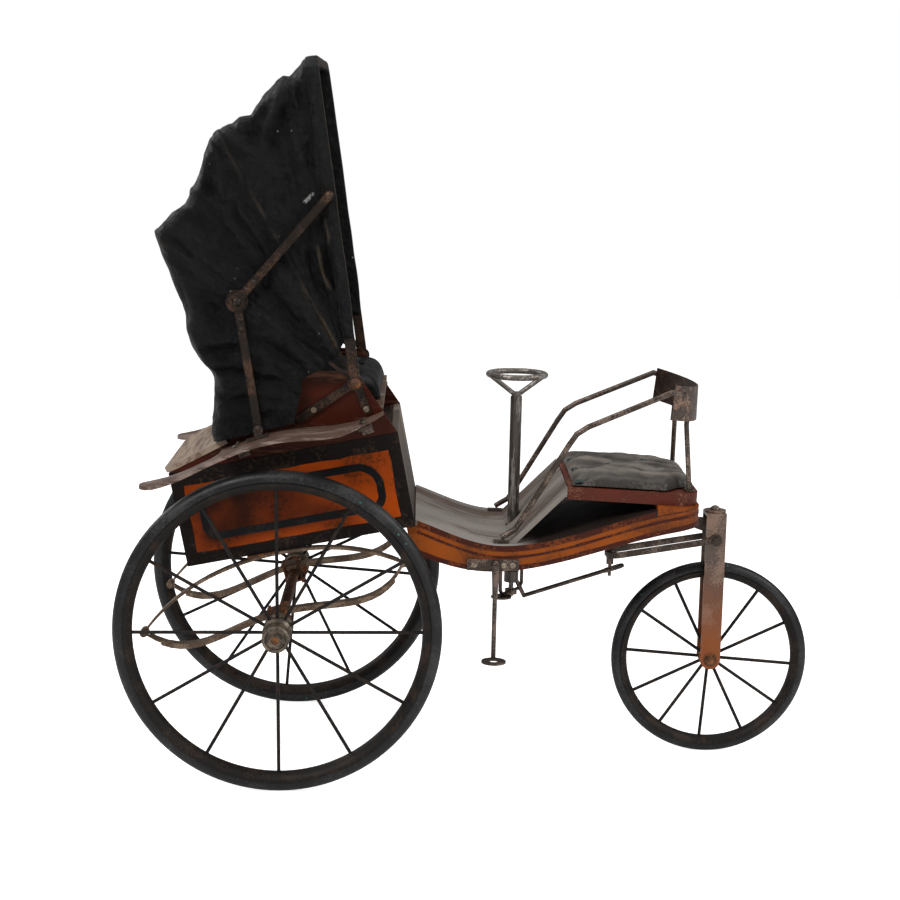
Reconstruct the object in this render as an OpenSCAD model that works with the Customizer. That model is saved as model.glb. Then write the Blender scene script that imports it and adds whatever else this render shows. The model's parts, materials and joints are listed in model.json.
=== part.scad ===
// Hooded carriage tricycle for a child: two big rear wheels on leaf springs, a raked
// wooden body with a seat at each end, a folding hood and a steered front wheel.
// Millimetres. +X is forward, +Z up, and the part stands on Z = 0.

/* [Wheels] */
// Diameter of a rear wheel over its tyre
rear_wheel_d = 508; // [440:1:530]
// Diameter of the front wheel over its tyre
front_wheel_d = 326; // [280:1:345]
// Distance between the rear and the front axle
wheelbase = 704; // [690:1:760]
// Distance between the middles of the two rear tyres
rear_track = 466; // [456:1:500]
// Thickness of a rear tyre
rear_tyre_t = 28; // [22:1:34]
// Thickness of the front tyre
front_tyre_t = 23; // [18:1:28]
// Wall of the channel rims
rim_wall = 3; // [2:0.5:4]
// Diameter of a spoke
spoke_d = 5.5; // [4:0.5:7]
// Spokes in each wheel
spoke_count = 12; // [8:1:16]
// Diameter of a rear hub at its spoke collar
rear_hub_d = 46; // [40:1:54]
// Length of a rear hub outboard of the spokes
hub_outer_len = 46; // [38:1:54]
// Length of a rear hub inboard of the spokes
hub_inner_len = 34; // [26:1:38]
// Diameter of the front hub
front_hub_d = 34; // [30:1:40]

/* [Axles] */
// Diameter of the rear axle bar
axle_d = 18; // [16:1:24]
// Diameter of the journals that the rear hubs run on
journal_d = 14; // [12:0.5:15]
// Diameter of the front axle
front_axle_d = 10; // [8:0.5:12]
// Radial running clearance of every turning fit
running_gap = 0.05; // [0.02:0.01:0.09]
// Side clearance between pieces that move past each other
side_gap = 0.3; // [0.2:0.05:0.6]

/* [Springs] */
// Length of a spring between its two end bolts
spring_span = 424; // [380:1:450]
// Height of the upper leaf above the end bolts
spring_rise = 68; // [55:1:85]
// Depth of the lower leaf below the end bolts at the axle
spring_dip = 24; // [18:1:32]
// Width of the leaves
leaf_w = 20; // [16:1:24]
// Thickness of a leaf
leaf_t = 4; // [3:0.5:5]
// Angle that the springs are raked at
spring_rake = 16.5; // [13:0.5:17]
// Distance of each spring from the middle of the vehicle
spring_y = 160; // [156:1:170]

/* [Body box] */
// Length of the box along its raked floor
box_l = 362; // [340:1:380]
// Height of the box square to its floor
box_h = 151; // [130:1:170]
// Width of the box over its side boards
box_w = 326; // [300:1:340]
// Angle that the body is raked at
body_rake = 11.5; // [9:0.5:13]
// Distance of the box's rear lower corner behind the axle
box_rear_x = 146; // [135:1:160]
// Thickness of the side boards
side_t = 12; // [10:0.5:15]
// Thickness of the other boards of the box
board_t = 10; // [8:0.5:12]

/* [Rear seat] */
// Height of the arm panels above the front upper corner of the box
arm_h = 92; // [80:1:110]
// Thickness of the arm panels
arm_t = 10; // [8:0.5:12]
// Height of the rear seat board above the front upper corner of the box
seat_rise = 48; // [40:1:60]
// Thickness of the rear seat board
seat_board_t = 14; // [10:1:18]
// Thickness of the rear cushion
rear_cushion_t = 42; // [30:1:55]
// Height of the seat back above the rear seat board
seat_back_h = 78; // [50:1:90]

/* [Wings and deck] */
// Thickness of the wing boards
wing_t = 5; // [4:0.5:7]
// Width of a wing's tail over the wheel
wing_tail_w = 64; // [54:1:74]
// Thickness of the deck board behind the seat
deck_t = 8; // [6:0.5:10]
// Slope of the deck board
deck_slope = 28; // [24:0.5:30]

/* [Lower body] */
// Width of the lower body over its sill boards
sill_w = 300; // [286:1:312]
// Thickness of the sill boards
sill_t = 14; // [10:1:18]
// Depth of the sill boards
sill_depth = 34; // [28:1:40]
// Fall of the sills from the box corner to their lowest stretch
sill_fall = 40; // [30:1:50]
// Rise of the sills from their lowest stretch to the nose
sill_climb = 73; // [60:1:85]
// Distance of the nose behind the fork's axis
nose_gap = 44; // [40:1:56]
// Thickness of the floor boards on the sills
floor_t = 8; // [6:0.5:10]
// Radius that the nose and the front seat are rounded to in plan
nose_round = 42; // [30:1:50]
// Thickness of the riser board in front of the front seat
riser_t = 8; // [6:0.5:10]

/* [Front seat] */
// Length of the front seat board
front_seat_l = 210; // [190:1:225]
// Width of the front seat board
front_seat_w = 270; // [240:1:284]
// Thickness of the front seat board
front_seat_t = 19; // [14:1:22]
// Thickness of the front cushion
front_cushion_t = 24; // [16:1:34]
// Diameter of the hand rails
rail_d = 9; // [7:0.5:11]
// Distance of each hand rail from the middle
rail_y = 128; // [118:1:130]
// Height of the backrest plate
backrest_h = 54; // [46:1:60]
// Thickness of the backrest plate
backrest_t = 2.5; // [2:0.5:4]
// Radius that the backrest plate is bent to
backrest_r = 152; // [140:1:165]
// Width of the backrest plate from end to end
backrest_w = 236; // [220:1:244]

/* [Steering] */
// Distance of the steering column ahead of the rear axle
column_x = 370; // [364:1:376]
// Diameter of the steering column
column_d = 19; // [16:1:21]
// Radius of the ring handle to the middle of its bar
ring_r = 46; // [38:1:56]
// Diameter of the ring handle's bar
ring_bar_d = 9.5; // [6:0.5:10]
// Height of the ring handle above the floor
ring_h = 252; // [220:1:280]
// Diameter of the crank rod
crank_d = 7; // [6:0.5:8]
// Distance of the yoke's pin behind the fork's axis
yoke_reach = 171; // [160:1:176]
// Diameter of the yoke's pin
yoke_pin_d = 5.5; // [5:0.5:6.5]
// Side play of the pin in the crank rod's slot
slot_play = 3.2; // [3:0.1:3.6]
// Width of the fork's strap
fork_w = 33; // [28:1:36]
// Thickness of the fork's strap
fork_t = 4.5; // [3.5:0.5:6]
// Gap between the two legs of the fork
fork_gap = 35; // [33:1:42]
// Diameter of the kingpin
kingpin_d = 12; // [10:0.5:14]

/* [Hood] */
// Length of the front bow from its pivot
front_bow_l = 494; // [460:1:520]
// Length of the middle bow from its pivot
mid_bow_l = 432; // [400:1:450]
// Length of the rear bow from its pivot
rear_bow_l = 380; // [350:1:400]
// Lean of the front bow from upright
front_bow_lean = 8.6; // [6:0.1:12]
// Lean of the middle bow from upright
mid_bow_lean = 30; // [27:0.5:34]
// Lean of the rear bow from upright
rear_bow_lean = 54; // [50:0.5:58]
// Width of the flat front bow
front_bow_w = 16; // [12:1:20]
// Width of the two iron bows
iron_bow_w = 5; // [4:0.5:7]
// Thickness of the hood cloth
cloth_t = 2; // [1.5:0.5:3]
// Length of the lower hood irons between their pivots
lower_iron_l = 200; // [190:1:210]
// Distance of the upper irons' ends from the hood pivot
upper_iron_at = 288; // [280:1:296]
// Width of the hood irons
iron_w = 12; // [10:0.5:14]
// Thickness of the hood irons and of the bow eyes
iron_t = 4; // [3:0.5:4.5]

/* [Step] */
// Drop of the step ring below the sill plate
step_drop = 150; // [130:1:170]
// Outer diameter of the step ring
step_ring_d = 39; // [32:1:48]
// Bore of the step ring
step_bore_d = 16; // [12:1:20]

/* [Hidden] */
$fn = 64;

// ---- places that follow from the sizes above; X counts from the rear axle ----
rear_r = rear_wheel_d / 2;
front_r = front_wheel_d / 2;
rear_axle_x = -(wheelbase + front_r - rear_r) / 2;
side_y = box_w / 2;
rad = 180 / PI;

// Springs: their own frame has its origin at the axle and is raked
leaf_gap = 0.1;
lower_mid_z = axle_d / 2 + leaf_t * 1.5 + leaf_gap;
spring_pin_z = lower_mid_z + spring_dip;
crest_z = spring_pin_z + spring_rise + leaf_t / 2;
crest = [-crest_z * sin(spring_rake), rear_r + crest_z * cos(spring_rake)];
block_t = 3;

// Box: its own frame has its origin at the rear lower corner and is raked
box_origin = [-box_rear_x, crest[1] + block_t - (crest[0] + box_rear_x) * tan(body_rake)];
function box_point(along, up) = [
    box_origin[0] + along * cos(body_rake) - up * sin(body_rake),
    box_origin[1] + along * sin(body_rake) + up * cos(body_rake)];
low_corner = box_point(box_l, 0);
top_corner = box_point(box_l, box_h);
rear_corner = box_point(0, box_h);
function box_top_z(x) = top_corner[1] + (x - top_corner[0]) * tan(body_rake);

// A cubic between two stations, each given as [x, z, slope]
function cubic_z(a, b, x) = let (l = b[0] - a[0], t = (x - a[0]) / l)
    a[1] * (2 * t ^ 3 - 3 * t ^ 2 + 1) + a[2] * l * (t ^ 3 - 2 * t ^ 2 + t)
    + b[1] * (3 * t ^ 2 - 2 * t ^ 3) + b[2] * l * (t ^ 3 - t ^ 2);
function line_z(stations, x) =
    let (i = len([for (k = [1 : len(stations) - 2]) if (x > stations[k][0]) 1]))
    cubic_z(stations[i], stations[i + 1], x);
function line_slope(stations, x) = (line_z(stations, x + 1) - line_z(stations, x - 1)) / 2;
function steps(a, b, n) = [for (i = [0 : n]) a + (b - a) * i / n];
function arc(c, r, from, to, n = 8) = [for (a = steps(from, to, n)) c + r * [cos(a), sin(a)]];
function reversed(list) = [for (i = [len(list) - 1 : -1 : 0]) list[i]];

// Sills: the lines of their upper and lower edges
nose_x = wheelbase - nose_gap;
dip_x = low_corner[0] + 136;
dip_z = low_corner[1] - sill_fall;
nose_z = dip_z + sill_climb;
sill_line = [[low_corner[0], low_corner[1] - 0.5, -0.35], [dip_x, dip_z, 0], [nose_x, nose_z, 0.08]];
under_line = [
    [low_corner[0] - 4, low_corner[1] - sill_depth - 10, -0.45],
    [dip_x - 18, dip_z - sill_depth, 0], [nose_x, nose_z - sill_depth + 2, 0.1]];
function sill_z(x) = line_z(sill_line, x);
function under_z(x) = line_z(under_line, x);
sill_rear = low_corner - [14, 14 * tan(body_rake) + 0.3];
sill_out_y = sill_w / 2;
sill_in_y = sill_out_y - sill_t;
inside_y = sill_in_y - side_gap;
function floor_z(x) = sill_z(x) + floor_t + 0.1;

// Front seat
seat_fall = 2.5;
front_seat_x = nose_x - 1;
function front_seat_z(x) = nose_z + front_seat_t + (front_seat_x - x) * tan(seat_fall);
front_seat_rear_x = front_seat_x - front_seat_l;
riser_foot_x = front_seat_rear_x - 92;

// Rear seat
seat_z = top_corner[1] + seat_rise;
seat_front_x = top_corner[0] - 23;
seat_back_x = seat_front_x - 216;
seat_back_lean = 9;
arm_z = top_corner[1] + arm_h;

// Wings: the line of their middle, from the tail to the front end
wing_line = [
    [rear_corner[0] - 35.3, rear_corner[1] - 6.9, -0.02], [rear_corner[0] + 75.7, rear_corner[1] + 34.1, 0.5],
    [top_corner[0] - 149, top_corner[1] + 2, 0.05], [top_corner[0] - 22, top_corner[1] + 31, 0.5]];
function wing_z(x) = line_z(wing_line, x);
wing_tail_x = wing_line[0][0];
wing_front_x = wing_line[3][0];
wing_out_y = rear_track / 2 + wing_tail_w / 2;

// Hood: pivot line, planes of the irons beside the body, and bow tips
pivot = top_corner + [-66, 78];
pivot_d = 8;
plate_t = 3.5;
plate_y = side_y + side_gap;
rear_bow_y = plate_y + plate_t + side_gap;
mid_bow_y = rear_bow_y + iron_t + side_gap;
front_bow_y = mid_bow_y + iron_t + 2;
front_bow_t = 7;
cloth_y = front_bow_y + front_bow_t + 1.2;
lower_iron_y = cloth_y + cloth_t + 2.2;
upper_iron_y = lower_iron_y + iron_t + side_gap;
foot_lug_y = lower_iron_y + iron_t + side_gap;
foot_lug_t = 5;
function lean_point(from, lean, l) = from + l * [-sin(lean), cos(lean)];
iron_foot = [top_corner[0] - 213, wing_z(top_corner[0] - 213) + 14];
iron_top = lean_point(pivot, front_bow_lean, upper_iron_at);
lower_iron_lean = 9.8;
knuckle = lean_point(iron_foot, lower_iron_lean, lower_iron_l);
iron_pin_d = 6;

// Steering
column_top_z = floor_z(column_x) + ring_h - 36;
ring_z = floor_z(column_x) + ring_h;
column_end_z = floor_z(column_x) - 94;
stirrup_z = column_end_z - 17;
foot_pin_d = 8;
crown_z = nose_z - 38;
crown_t = 5;
barrel_d = 26;
barrel_h = 33;
yoke_tilt = 10;
yoke_bolt_z = crown_z - 39;
yoke_bar_h = 10;
yoke_bar_t = 3.7;
yoke_rear_z = yoke_bolt_z - yoke_reach * tan(yoke_tilt);
yoke_pin_x = wheelbase - yoke_reach;
fork_y = fork_gap / 2;
crank_end_z = yoke_rear_z - 27;

module from_axle() translate([rear_axle_x, 0, 0]) children();
module both_sides() {
    children();
    mirror([0, 1, 0]) children();
}
// A profile drawn in X and Z, made solid from y0 to y1
module across(y0, y1) translate([0, y1, 0]) rotate([90, 0, 0]) linear_extrude(y1 - y0) children();
// A cylinder that lies across the vehicle from y0 to y1 at the point [x, z]
module pin_across(p, d, y0, y1) translate([p[0], y1, p[1]]) rotate([90, 0, 0]) cylinder(d = d, h = y1 - y0);
// A dome-headed rivet or bolt head that stands out across the vehicle
module dome_across(p, d, y, h) translate([p[0], y, p[1]]) rotate([-90, 0, 0])
    intersection() {
        translate([0, 0, h - d * d / 8 / h - h / 2]) sphere(r = d * d / 8 / h + h / 2);
        cylinder(d = d + 1, h = h + 1);
    }
// A slotted screw head that stands out across the vehicle
module screw_across(p, d, y, turn = 30) translate([p[0], y, p[1]]) rotate([-90, 0, 0])
    difference() {
        cylinder(d = d, h = 1.8);
        rotate(turn) translate([-d, -0.7, 1]) cube([2 * d, 1.4, 2]);
    }
// A round bar from point to point, with ball corners that stand a little proud
module bar_path(points, d) {
    for (i = [0 : len(points) - 2]) bar(points[i], points[i + 1], d);
    for (i = [1 : len(points) - 2]) translate(points[i]) sphere(d = d + 0.4);
}
module bar(a, b, d) {
    v = b - a;
    translate(a) rotate([0, acos(v[2] / norm(v)), atan2(v[1], v[0])]) cylinder(d = d, h = norm(v));
}
// The outline of a slot with round ends
module long_hole(l, r) polygon(concat(arc([l / 2, 0], r, -90, 90, 12), arc([-l / 2, 0], r, 90, 270, 12)));
// A flat link in X and Z with round ends, between two points
module link(a, b, w, y0, y1) {
    way = atan2(b[1] - a[1], b[0] - a[0]);
    across(y0, y1) polygon(concat(arc(b, w / 2, way - 90, way + 90, 12), arc(a, w / 2, way + 90, way + 270, 12)));
}

// ---- wheels, each about its own middle with its axis across the vehicle ----
module tyre(r, t) rotate([90, 0, 0]) rotate_extrude() translate([r - t / 2, 0]) circle(d = t);
module rim(r, t, phase, hub_d) {
    mid_r = r - t / 2;
    inner_r = mid_r - t / 2 - rim_wall;
    rotate([90, 0, 0]) rotate_extrude() intersection() {
        translate([mid_r, 0]) difference() {
            circle(d = t + 2 * rim_wall);
            circle(d = t + 0.3);
        }
        translate([inner_r - 1, -t]) square([t * 0.36 + rim_wall + 1, 2 * t]);
    }
    for (i = [0 : spoke_count - 1]) rotate([0, phase - i * 360 / spoke_count, 0])
        translate([hub_d / 2 - 4, 0, 0]) rotate([0, 90, 0])
            cylinder(d = spoke_d, h = inner_r + rim_wall / 2 - hub_d / 2 + 4);
}
module spoke_holes(phase, hub_d) {
    for (i = [0 : spoke_count - 1]) rotate([0, phase - i * 360 / spoke_count, 0])
        translate([hub_d / 2 - 4.1, 0, 0]) rotate([0, 90, 0]) cylinder(d = spoke_d + 0.2, h = 8);
}
// The outboard end of a rear hub points towards -Y
module rear_hub(phase) difference() {
    r = rear_hub_d / 2;
    bore = journal_d / 2 + running_gap;
    rotate([90, 0, 0]) rotate_extrude() polygon([
        [bore, -hub_inner_len], [r - 2, -hub_inner_len], [r, -hub_inner_len + 3],
        [r, -hub_inner_len + 9], [r - 4, -hub_inner_len + 13], [r - 3, -9], [r, -7], [r, 7],
        [r - 4, 11], [r - 6, 22], [r - 5, hub_outer_len - 12], [r - 2, hub_outer_len - 10],
        [r - 2, hub_outer_len - 2], [r - 4, hub_outer_len], [r - 7, hub_outer_len],
        [r - 7, hub_outer_len - 5], [bore, hub_outer_len - 5]]);
    spoke_holes(phase, rear_hub_d);
}
module front_hub_body(phase) difference() {
    half = fork_y - 0.6;
    r = front_hub_d / 2;
    bore = front_axle_d / 2 + running_gap;
    rotate([90, 0, 0]) rotate_extrude() polygon([
        [bore, -half], [r - 6, -half], [r - 5, -half + 4], [r - 2, -7], [r, -5],
        [r, 5], [r - 2, 7], [r - 5, half - 4], [r - 6, half], [bore, half]]);
    spoke_holes(phase, front_hub_d);
}
module at_right_wheel() from_axle() translate([0, -rear_track / 2, rear_r]) children();
module at_left_wheel() mirror([0, 1, 0]) at_right_wheel() children();
module at_front_wheel() from_axle() translate([wheelbase, 0, front_r]) children();
right_phase = -1;
left_phase = 4;
front_phase = 4;
module right_tyre() color("#26282a") at_right_wheel() tyre(rear_r, rear_tyre_t);
module left_tyre() color("#26282a") at_left_wheel() tyre(rear_r, rear_tyre_t);
module front_tyre() color("#26282a") at_front_wheel() tyre(front_r, front_tyre_t);
module right_rim() color("#5a4638") at_right_wheel() rim(rear_r, rear_tyre_t, right_phase, rear_hub_d);
module left_rim() color("#5a4638") at_left_wheel() rim(rear_r, rear_tyre_t, left_phase, rear_hub_d);
module front_rim() color("#5a4638") at_front_wheel() rim(front_r, front_tyre_t, front_phase, front_hub_d);
module right_hub() color("#4a4038") at_right_wheel() rear_hub(right_phase);
module left_hub() color("#4a4038") at_left_wheel() rear_hub(left_phase);
module front_hub() color("#4a4038") at_front_wheel() front_hub_body(front_phase);

// ---- rear axle and springs ----
hub_inboard_y = rear_track / 2 - hub_inner_len;
hub_outboard_y = rear_track / 2 + hub_outer_len;
nut_t = 8;
washer_t = 2;
thread_d = journal_d - 2;
module rear_axle() color("#6b5647") from_axle() {
    pin_across([0, rear_r], axle_d, -hub_inboard_y + 4, hub_inboard_y - 4);
    both_sides() {
        pin_across([0, rear_r], rear_hub_d - 2, hub_inboard_y - 4.5, hub_inboard_y - side_gap);
        pin_across([0, rear_r], journal_d, hub_inboard_y - 4, hub_outboard_y - 5 + side_gap);
        pin_across([0, rear_r], thread_d, hub_outboard_y - 6, hub_outboard_y + nut_t - 2);
    }
}
module axle_nuts() color("#7a6a5a") from_axle() both_sides() difference() {
    y = hub_outboard_y - 5 + side_gap;
    union() {
        pin_across([0, rear_r], rear_hub_d - 16, y, y + washer_t);
        translate([0, y + washer_t, rear_r]) rotate([-90, 0, 0]) cylinder(d = 20, h = nut_t, $fn = 6);
    }
    pin_across([0, rear_r], thread_d + 0.2, y - 1, y + 20);
}
module at_spring() from_axle() both_sides() translate([0, spring_y, rear_r]) rotate([0, -spring_rake, 0]) children();
half_span = spring_span / 2;
function upper_leaf_z(x) = let (u = x / half_span) spring_pin_z + spring_rise * (1 - u * u) * (1 + 0.25 * u * u);
function lower_leaf_z(x) = let (u = x / half_span) spring_pin_z - spring_dip * (1 - u * u) * (1 + 4.2 * u * u);
// A leaf as a band about its middle line from x0 to x1
module leaf(line, x0, x1, shift) across(-leaf_w / 2, leaf_w / 2) polygon(concat(
    [for (x = steps(x0, x1, 28)) [x, line(x) + shift + leaf_t / 2]],
    [for (x = steps(x1, x0, 28)) [x, line(x) + shift - leaf_t / 2]]));
eye_d = 13;
bolt_d = 6;
tongue_y = leaf_w / 4;
module spring_upper_leaves() color("#6b5340") at_spring() difference() {
    union() {
        difference() {
            leaf(function(x) upper_leaf_z(x), -half_span, half_span, 0);
            for (s = [-1, 1], y = [-leaf_w, tongue_y])
                pin_across([s * half_span, spring_pin_z], eye_d + 5, y, y + leaf_w - tongue_y);
        }
        for (s = [-1, 1]) pin_across([s * half_span, spring_pin_z], eye_d, -tongue_y, tongue_y);
    }
    for (s = [-1, 1]) pin_across([s * half_span, spring_pin_z], bolt_d + 0.2, -leaf_w, leaf_w);
}
module spring_lower_leaves() color("#6b5340") at_spring() {
    difference() {
        union() {
            leaf(function(x) lower_leaf_z(x), -half_span, half_span, 0);
            for (s = [-1, 1]) pin_across([s * half_span, spring_pin_z], eye_d, -leaf_w / 2, leaf_w / 2);
        }
        for (s = [-1, 1]) {
            pin_across([s * half_span, spring_pin_z], eye_d + 5, -tongue_y - side_gap, tongue_y + side_gap);
            pin_across([s * half_span, spring_pin_z], bolt_d + 0.2, -leaf_w, leaf_w);
        }
    }
    leaf(function(x) lower_leaf_z(x), -half_span * 0.9, half_span * 0.9, -leaf_t - leaf_gap);
}
module spring_bolts() color("#4f4338") at_spring() for (s = [-1, 1]) {
    pin_across([s * half_span, spring_pin_z], bolt_d, -leaf_w / 2 - 2, leaf_w / 2 + 2);
    for (y = [-leaf_w / 2 - 5, leaf_w / 2 + side_gap])
        translate([s * half_span, y, spring_pin_z]) rotate([-90, 0, 0])
            cylinder(d = 12, h = 5 - side_gap, $fn = 6);
}
// A clip that ties each lower leaf to the axle, and the wedge between upper leaf and box
clip_l = axle_d + 16;
clip_w = leaf_w + 14;
module spring_clips() color("#554638") from_axle() both_sides() {
    top_z = lower_mid_z + leaf_t / 2 + 0.2;
    translate([0, spring_y, rear_r]) rotate([0, -spring_rake, 0]) {
        for (z = [top_z, -axle_d / 2 - 4.2]) translate([-clip_l / 2, -clip_w / 2, z])
            cube([clip_l, clip_w, 4]);
        for (x = [-1, 1], y = [-1, 1]) translate([x * (clip_l / 2 - 4), y * (clip_w / 2 - 3.2), -axle_d / 2 - 8])
            cylinder(d = 5, h = top_z + axle_d / 2 + 15);
    }
    across(spring_y - leaf_w / 2, spring_y + leaf_w / 2) wedge_profile();
}
module wedge_profile() {
    half = 22;
    polygon([
        crest + half * [-cos(spring_rake), -sin(spring_rake)] + [0, 0.2],
        crest + half * [cos(spring_rake), sin(spring_rake)] + [0, 0.2],
        [crest[0] + half, crest[1] + block_t + half * tan(body_rake)],
        [crest[0] - half, crest[1] + block_t - half * tan(body_rake)]]);
}

// ---- raked box ----
module in_box() from_axle() translate([box_origin[0], 0, box_origin[1]]) rotate([0, -body_rake, 0]) children();
inner_y = side_y - side_t;
module box_sides() color("#b4521a") in_box() both_sides()
    translate([0, inner_y, 0]) cube([box_l, side_t, box_h]);
module box_front_wall() color("#6e6a66") in_box()
    translate([box_l - board_t, -inner_y, 0]) cube([board_t, 2 * inner_y, box_h]);
module box_back() color("#3a2a22") in_box()
    translate([0, -inner_y, 0]) cube([board_t, 2 * inner_y, box_h - board_t]);
module box_boards() color("#4a3a2e") in_box() for (z = [0, box_h - board_t])
    translate([z > 0 ? 0 : board_t, -inner_y, z]) cube([box_l - board_t - (z > 0 ? 0 : board_t), 2 * inner_y, board_t]);

// ---- rear seat ----
arm_in_y = side_y - arm_t - 1;
arm_out_y = side_y - 1;
arm_front_r = 22;
arm_round = top_corner + [-77, arm_h - arm_front_r];
deck_foot = rear_corner;
deck_l = (seat_back_x - 24 - deck_foot[0]) / cos(deck_slope);
arm_tail = [seat_back_x - 22, deck_foot[1] + (seat_back_x - 22 - deck_foot[0]) * tan(deck_slope)];
module arm_panels() color("#6a2a1c") from_axle() both_sides() across(arm_in_y, arm_out_y) polygon(concat(
    [[top_corner[0] - 1, top_corner[1] + 0.2]],
    arc(arm_round, arm_front_r, 34, 90),
    arc([seat_back_x + 20, arm_z - 30], 30, 90, 160),
    [arm_tail, deck_foot + [1, 0.5]]));
module seat_front_board() color("#2e2724") from_axle()
    difference() {
        translate([seat_front_x - 14, -arm_in_y + side_gap, box_top_z(seat_front_x - 14)])
            cube([8, 2 * (arm_in_y - side_gap), seat_z - seat_board_t - box_top_z(seat_front_x - 14)]);
        translate([box_origin[0], 0, box_origin[1]]) rotate([0, -body_rake, 0])
            translate([0, -side_y, 0]) cube([box_l, 2 * side_y, box_h]);
    }
module rear_seat_board() color("#6b4a36") from_axle()
    translate([seat_back_x + 6, -arm_in_y + side_gap, seat_z - seat_board_t])
        cube([seat_front_x - seat_back_x - 6, 2 * (arm_in_y - side_gap), seat_board_t]);
// A flat cushion with rounded front, rear and side edges
module pad(x0, x1, y, z0, t) {
    r = t * 0.45;
    intersection() {
        across(-y, y) rounded([[x0, z0], [x1, z0], [x1, z0 + t], [x0, z0 + t]], r);
        translate([x0 - 1, 0, 0]) rotate([90, 0, 90]) linear_extrude(x1 - x0 + 2)
            rounded([[-y, z0], [y, z0], [y, z0 + t], [-y, z0 + t]], r);
    }
}
// A box outline with its four corners rounded; corners run anticlockwise
module rounded(c, r) polygon(concat(
    arc(c[0] + [r, r], r, 180, 270), arc(c[1] + [-r, r], r, 270, 360),
    arc(c[2] + [-r, -r], r, 0, 90), arc(c[3] + [r, -r], r, 90, 180)));
module rear_cushion() color("#3a3a3c") from_axle()
    pad(seat_back_x + 14, seat_front_x - 4, arm_in_y - 3, seat_z + side_gap, rear_cushion_t);
module seat_back() color("#5a2a1e") from_axle()
    translate([seat_back_x, 0, seat_z]) rotate([0, -seat_back_lean, 0])
        translate([-board_t, -arm_in_y + side_gap, -92]) difference() {
            cube([board_t, 2 * (arm_in_y - side_gap), 92 + seat_back_h]);
            for (s = [-1, 1]) translate([-1, arm_in_y - side_gap + s * arm_in_y, 92 + seat_back_h])
                rotate([0, 90, 0]) cylinder(r = 26, h = board_t + 2);
        }

// ---- wings and deck ----
// The plan of a wing: broad beside the seat, a rounded tail over the wheel
module wing_plan() {
    tail_in_y = wing_out_y - wing_tail_w;
    step_x = wing_tail_x + 118;
    r = wing_tail_w / 2 - 2;
    polygon(concat(
        [[wing_front_x, side_y + side_gap], [wing_front_x, side_y + 14], [wing_front_x - 64, wing_out_y]],
        arc([wing_tail_x + r, wing_out_y - r], r, 90, 180),
        arc([wing_tail_x + r, tail_in_y + r], r, 180, 270),
        arc([step_x - 24, side_y + side_gap + 24 + 8], 24, 60, 0),
        [[step_x, side_y + side_gap]]));
}
module wing() intersection() {
    across(0, wing_out_y + 10) polygon(concat(
        [for (x = steps(wing_tail_x, wing_front_x, 30)) [x, wing_z(x) - wing_t / 2]],
        [for (x = steps(wing_front_x, wing_tail_x, 30)) [x, wing_z(x) + wing_t / 2]]));
    translate([0, 0, wing_line[0][1] - 40]) linear_extrude(200) wing_plan();
}
module wing_left() color("#7a5a44") from_axle() wing();
module wing_right() color("#7a5a44") from_axle() mirror([0, 1, 0]) wing();
// Straps under the wings, each with a tab down the side of the body and two bolts
bracket_w = 18;
module wing_brackets() color("#4a3f38") from_axle() both_sides() for (x = [wing_tail_x + 146, wing_front_x - 30]) {
    lean = atan(line_slope(wing_line, x));
    translate([x, 0, wing_z(x)]) rotate([0, -lean, 0]) {
        translate([-bracket_w / 2, plate_y, -wing_t / 2 - 4.6]) cube([bracket_w, 62, 4]);
        translate([-bracket_w / 2, plate_y, -wing_t / 2 - 20]) cube([bracket_w, 4, 16]);
        for (y = [plate_y + 16, plate_y + 50]) translate([0, y, wing_t / 2 + 0.6])
            intersection() {
                cylinder(d = 11, h = 4);
                translate([0, 0, -4]) sphere(d = 15);
            }
    }
}
module rear_deck() color("#6f4c38") from_axle()
    translate([deck_foot[0], 0, deck_foot[1] + 0.6]) rotate([0, -deck_slope, 0])
        linear_extrude(deck_t) polygon(concat(
            [[deck_l, side_y], [deck_l, -side_y]],
            arc([18, -side_y + 24], 24, 270, 180), arc([18, side_y - 24], 24, 180, 90)));

// ---- lower body ----
nose_end = nose_x - 0.3;
module sill_profile() polygon(concat(
    [sill_rear], [for (x = steps(sill_line[0][0], nose_end, 40)) [x, sill_z(x)]],
    [for (x = steps(nose_end, under_line[0][0], 40)) [x, under_z(x)]]));
// A plan that runs forward to x and has two rounded front corners
module round_front(x, half, r) polygon(concat(
    [[x - 500, half], [x - 500, -half]], arc([x - r, r - half], r, 270, 360), arc([x - r, half - r], r, 0, 90)));
module cut_round() intersection() {
    union() children();
    linear_extrude(nose_z + 100) round_front(nose_end, sill_out_y, nose_round);
}
module sill_boards() color("#b5651d") from_axle() both_sides() cut_round()
    across(sill_in_y, sill_out_y) sill_profile();
module nose_block() color("#7a2a1a") from_axle() cut_round() {
    x0 = nose_x - 70;
    across(-inside_y, inside_y) polygon(concat(
        [for (x = steps(x0, nose_x, 12)) [x, under_z(x) + 3]],
        [for (x = steps(nose_x, x0, 12)) [x, sill_z(x) - 0.2]]));
    across(-sill_out_y, sill_out_y) polygon(concat(
        [for (x = steps(x0, nose_x - 12, 12)) [x, sill_z(x) + 0.1]],
        [[nose_x - 12, front_seat_z(nose_x - 12) - front_seat_t - 0.2],
         [x0, front_seat_z(x0) - front_seat_t - 0.2]]));
}
floor_x0 = low_corner[0] + 0.4;
floor_x1 = nose_x - 70.3;
module floor_board() color("#77726c") from_axle() difference() {
    across(-sill_out_y, sill_out_y) polygon(concat(
        [for (x = steps(floor_x0, floor_x1, 40)) [x, floor_z(x)]],
        [for (x = steps(floor_x1, floor_x0, 40)) [x, floor_z(x) - floor_t]]));
    translate([column_x, 0, floor_z(column_x) - 50]) cylinder(d = column_d + 2 * running_gap, h = 100);
}
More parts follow.
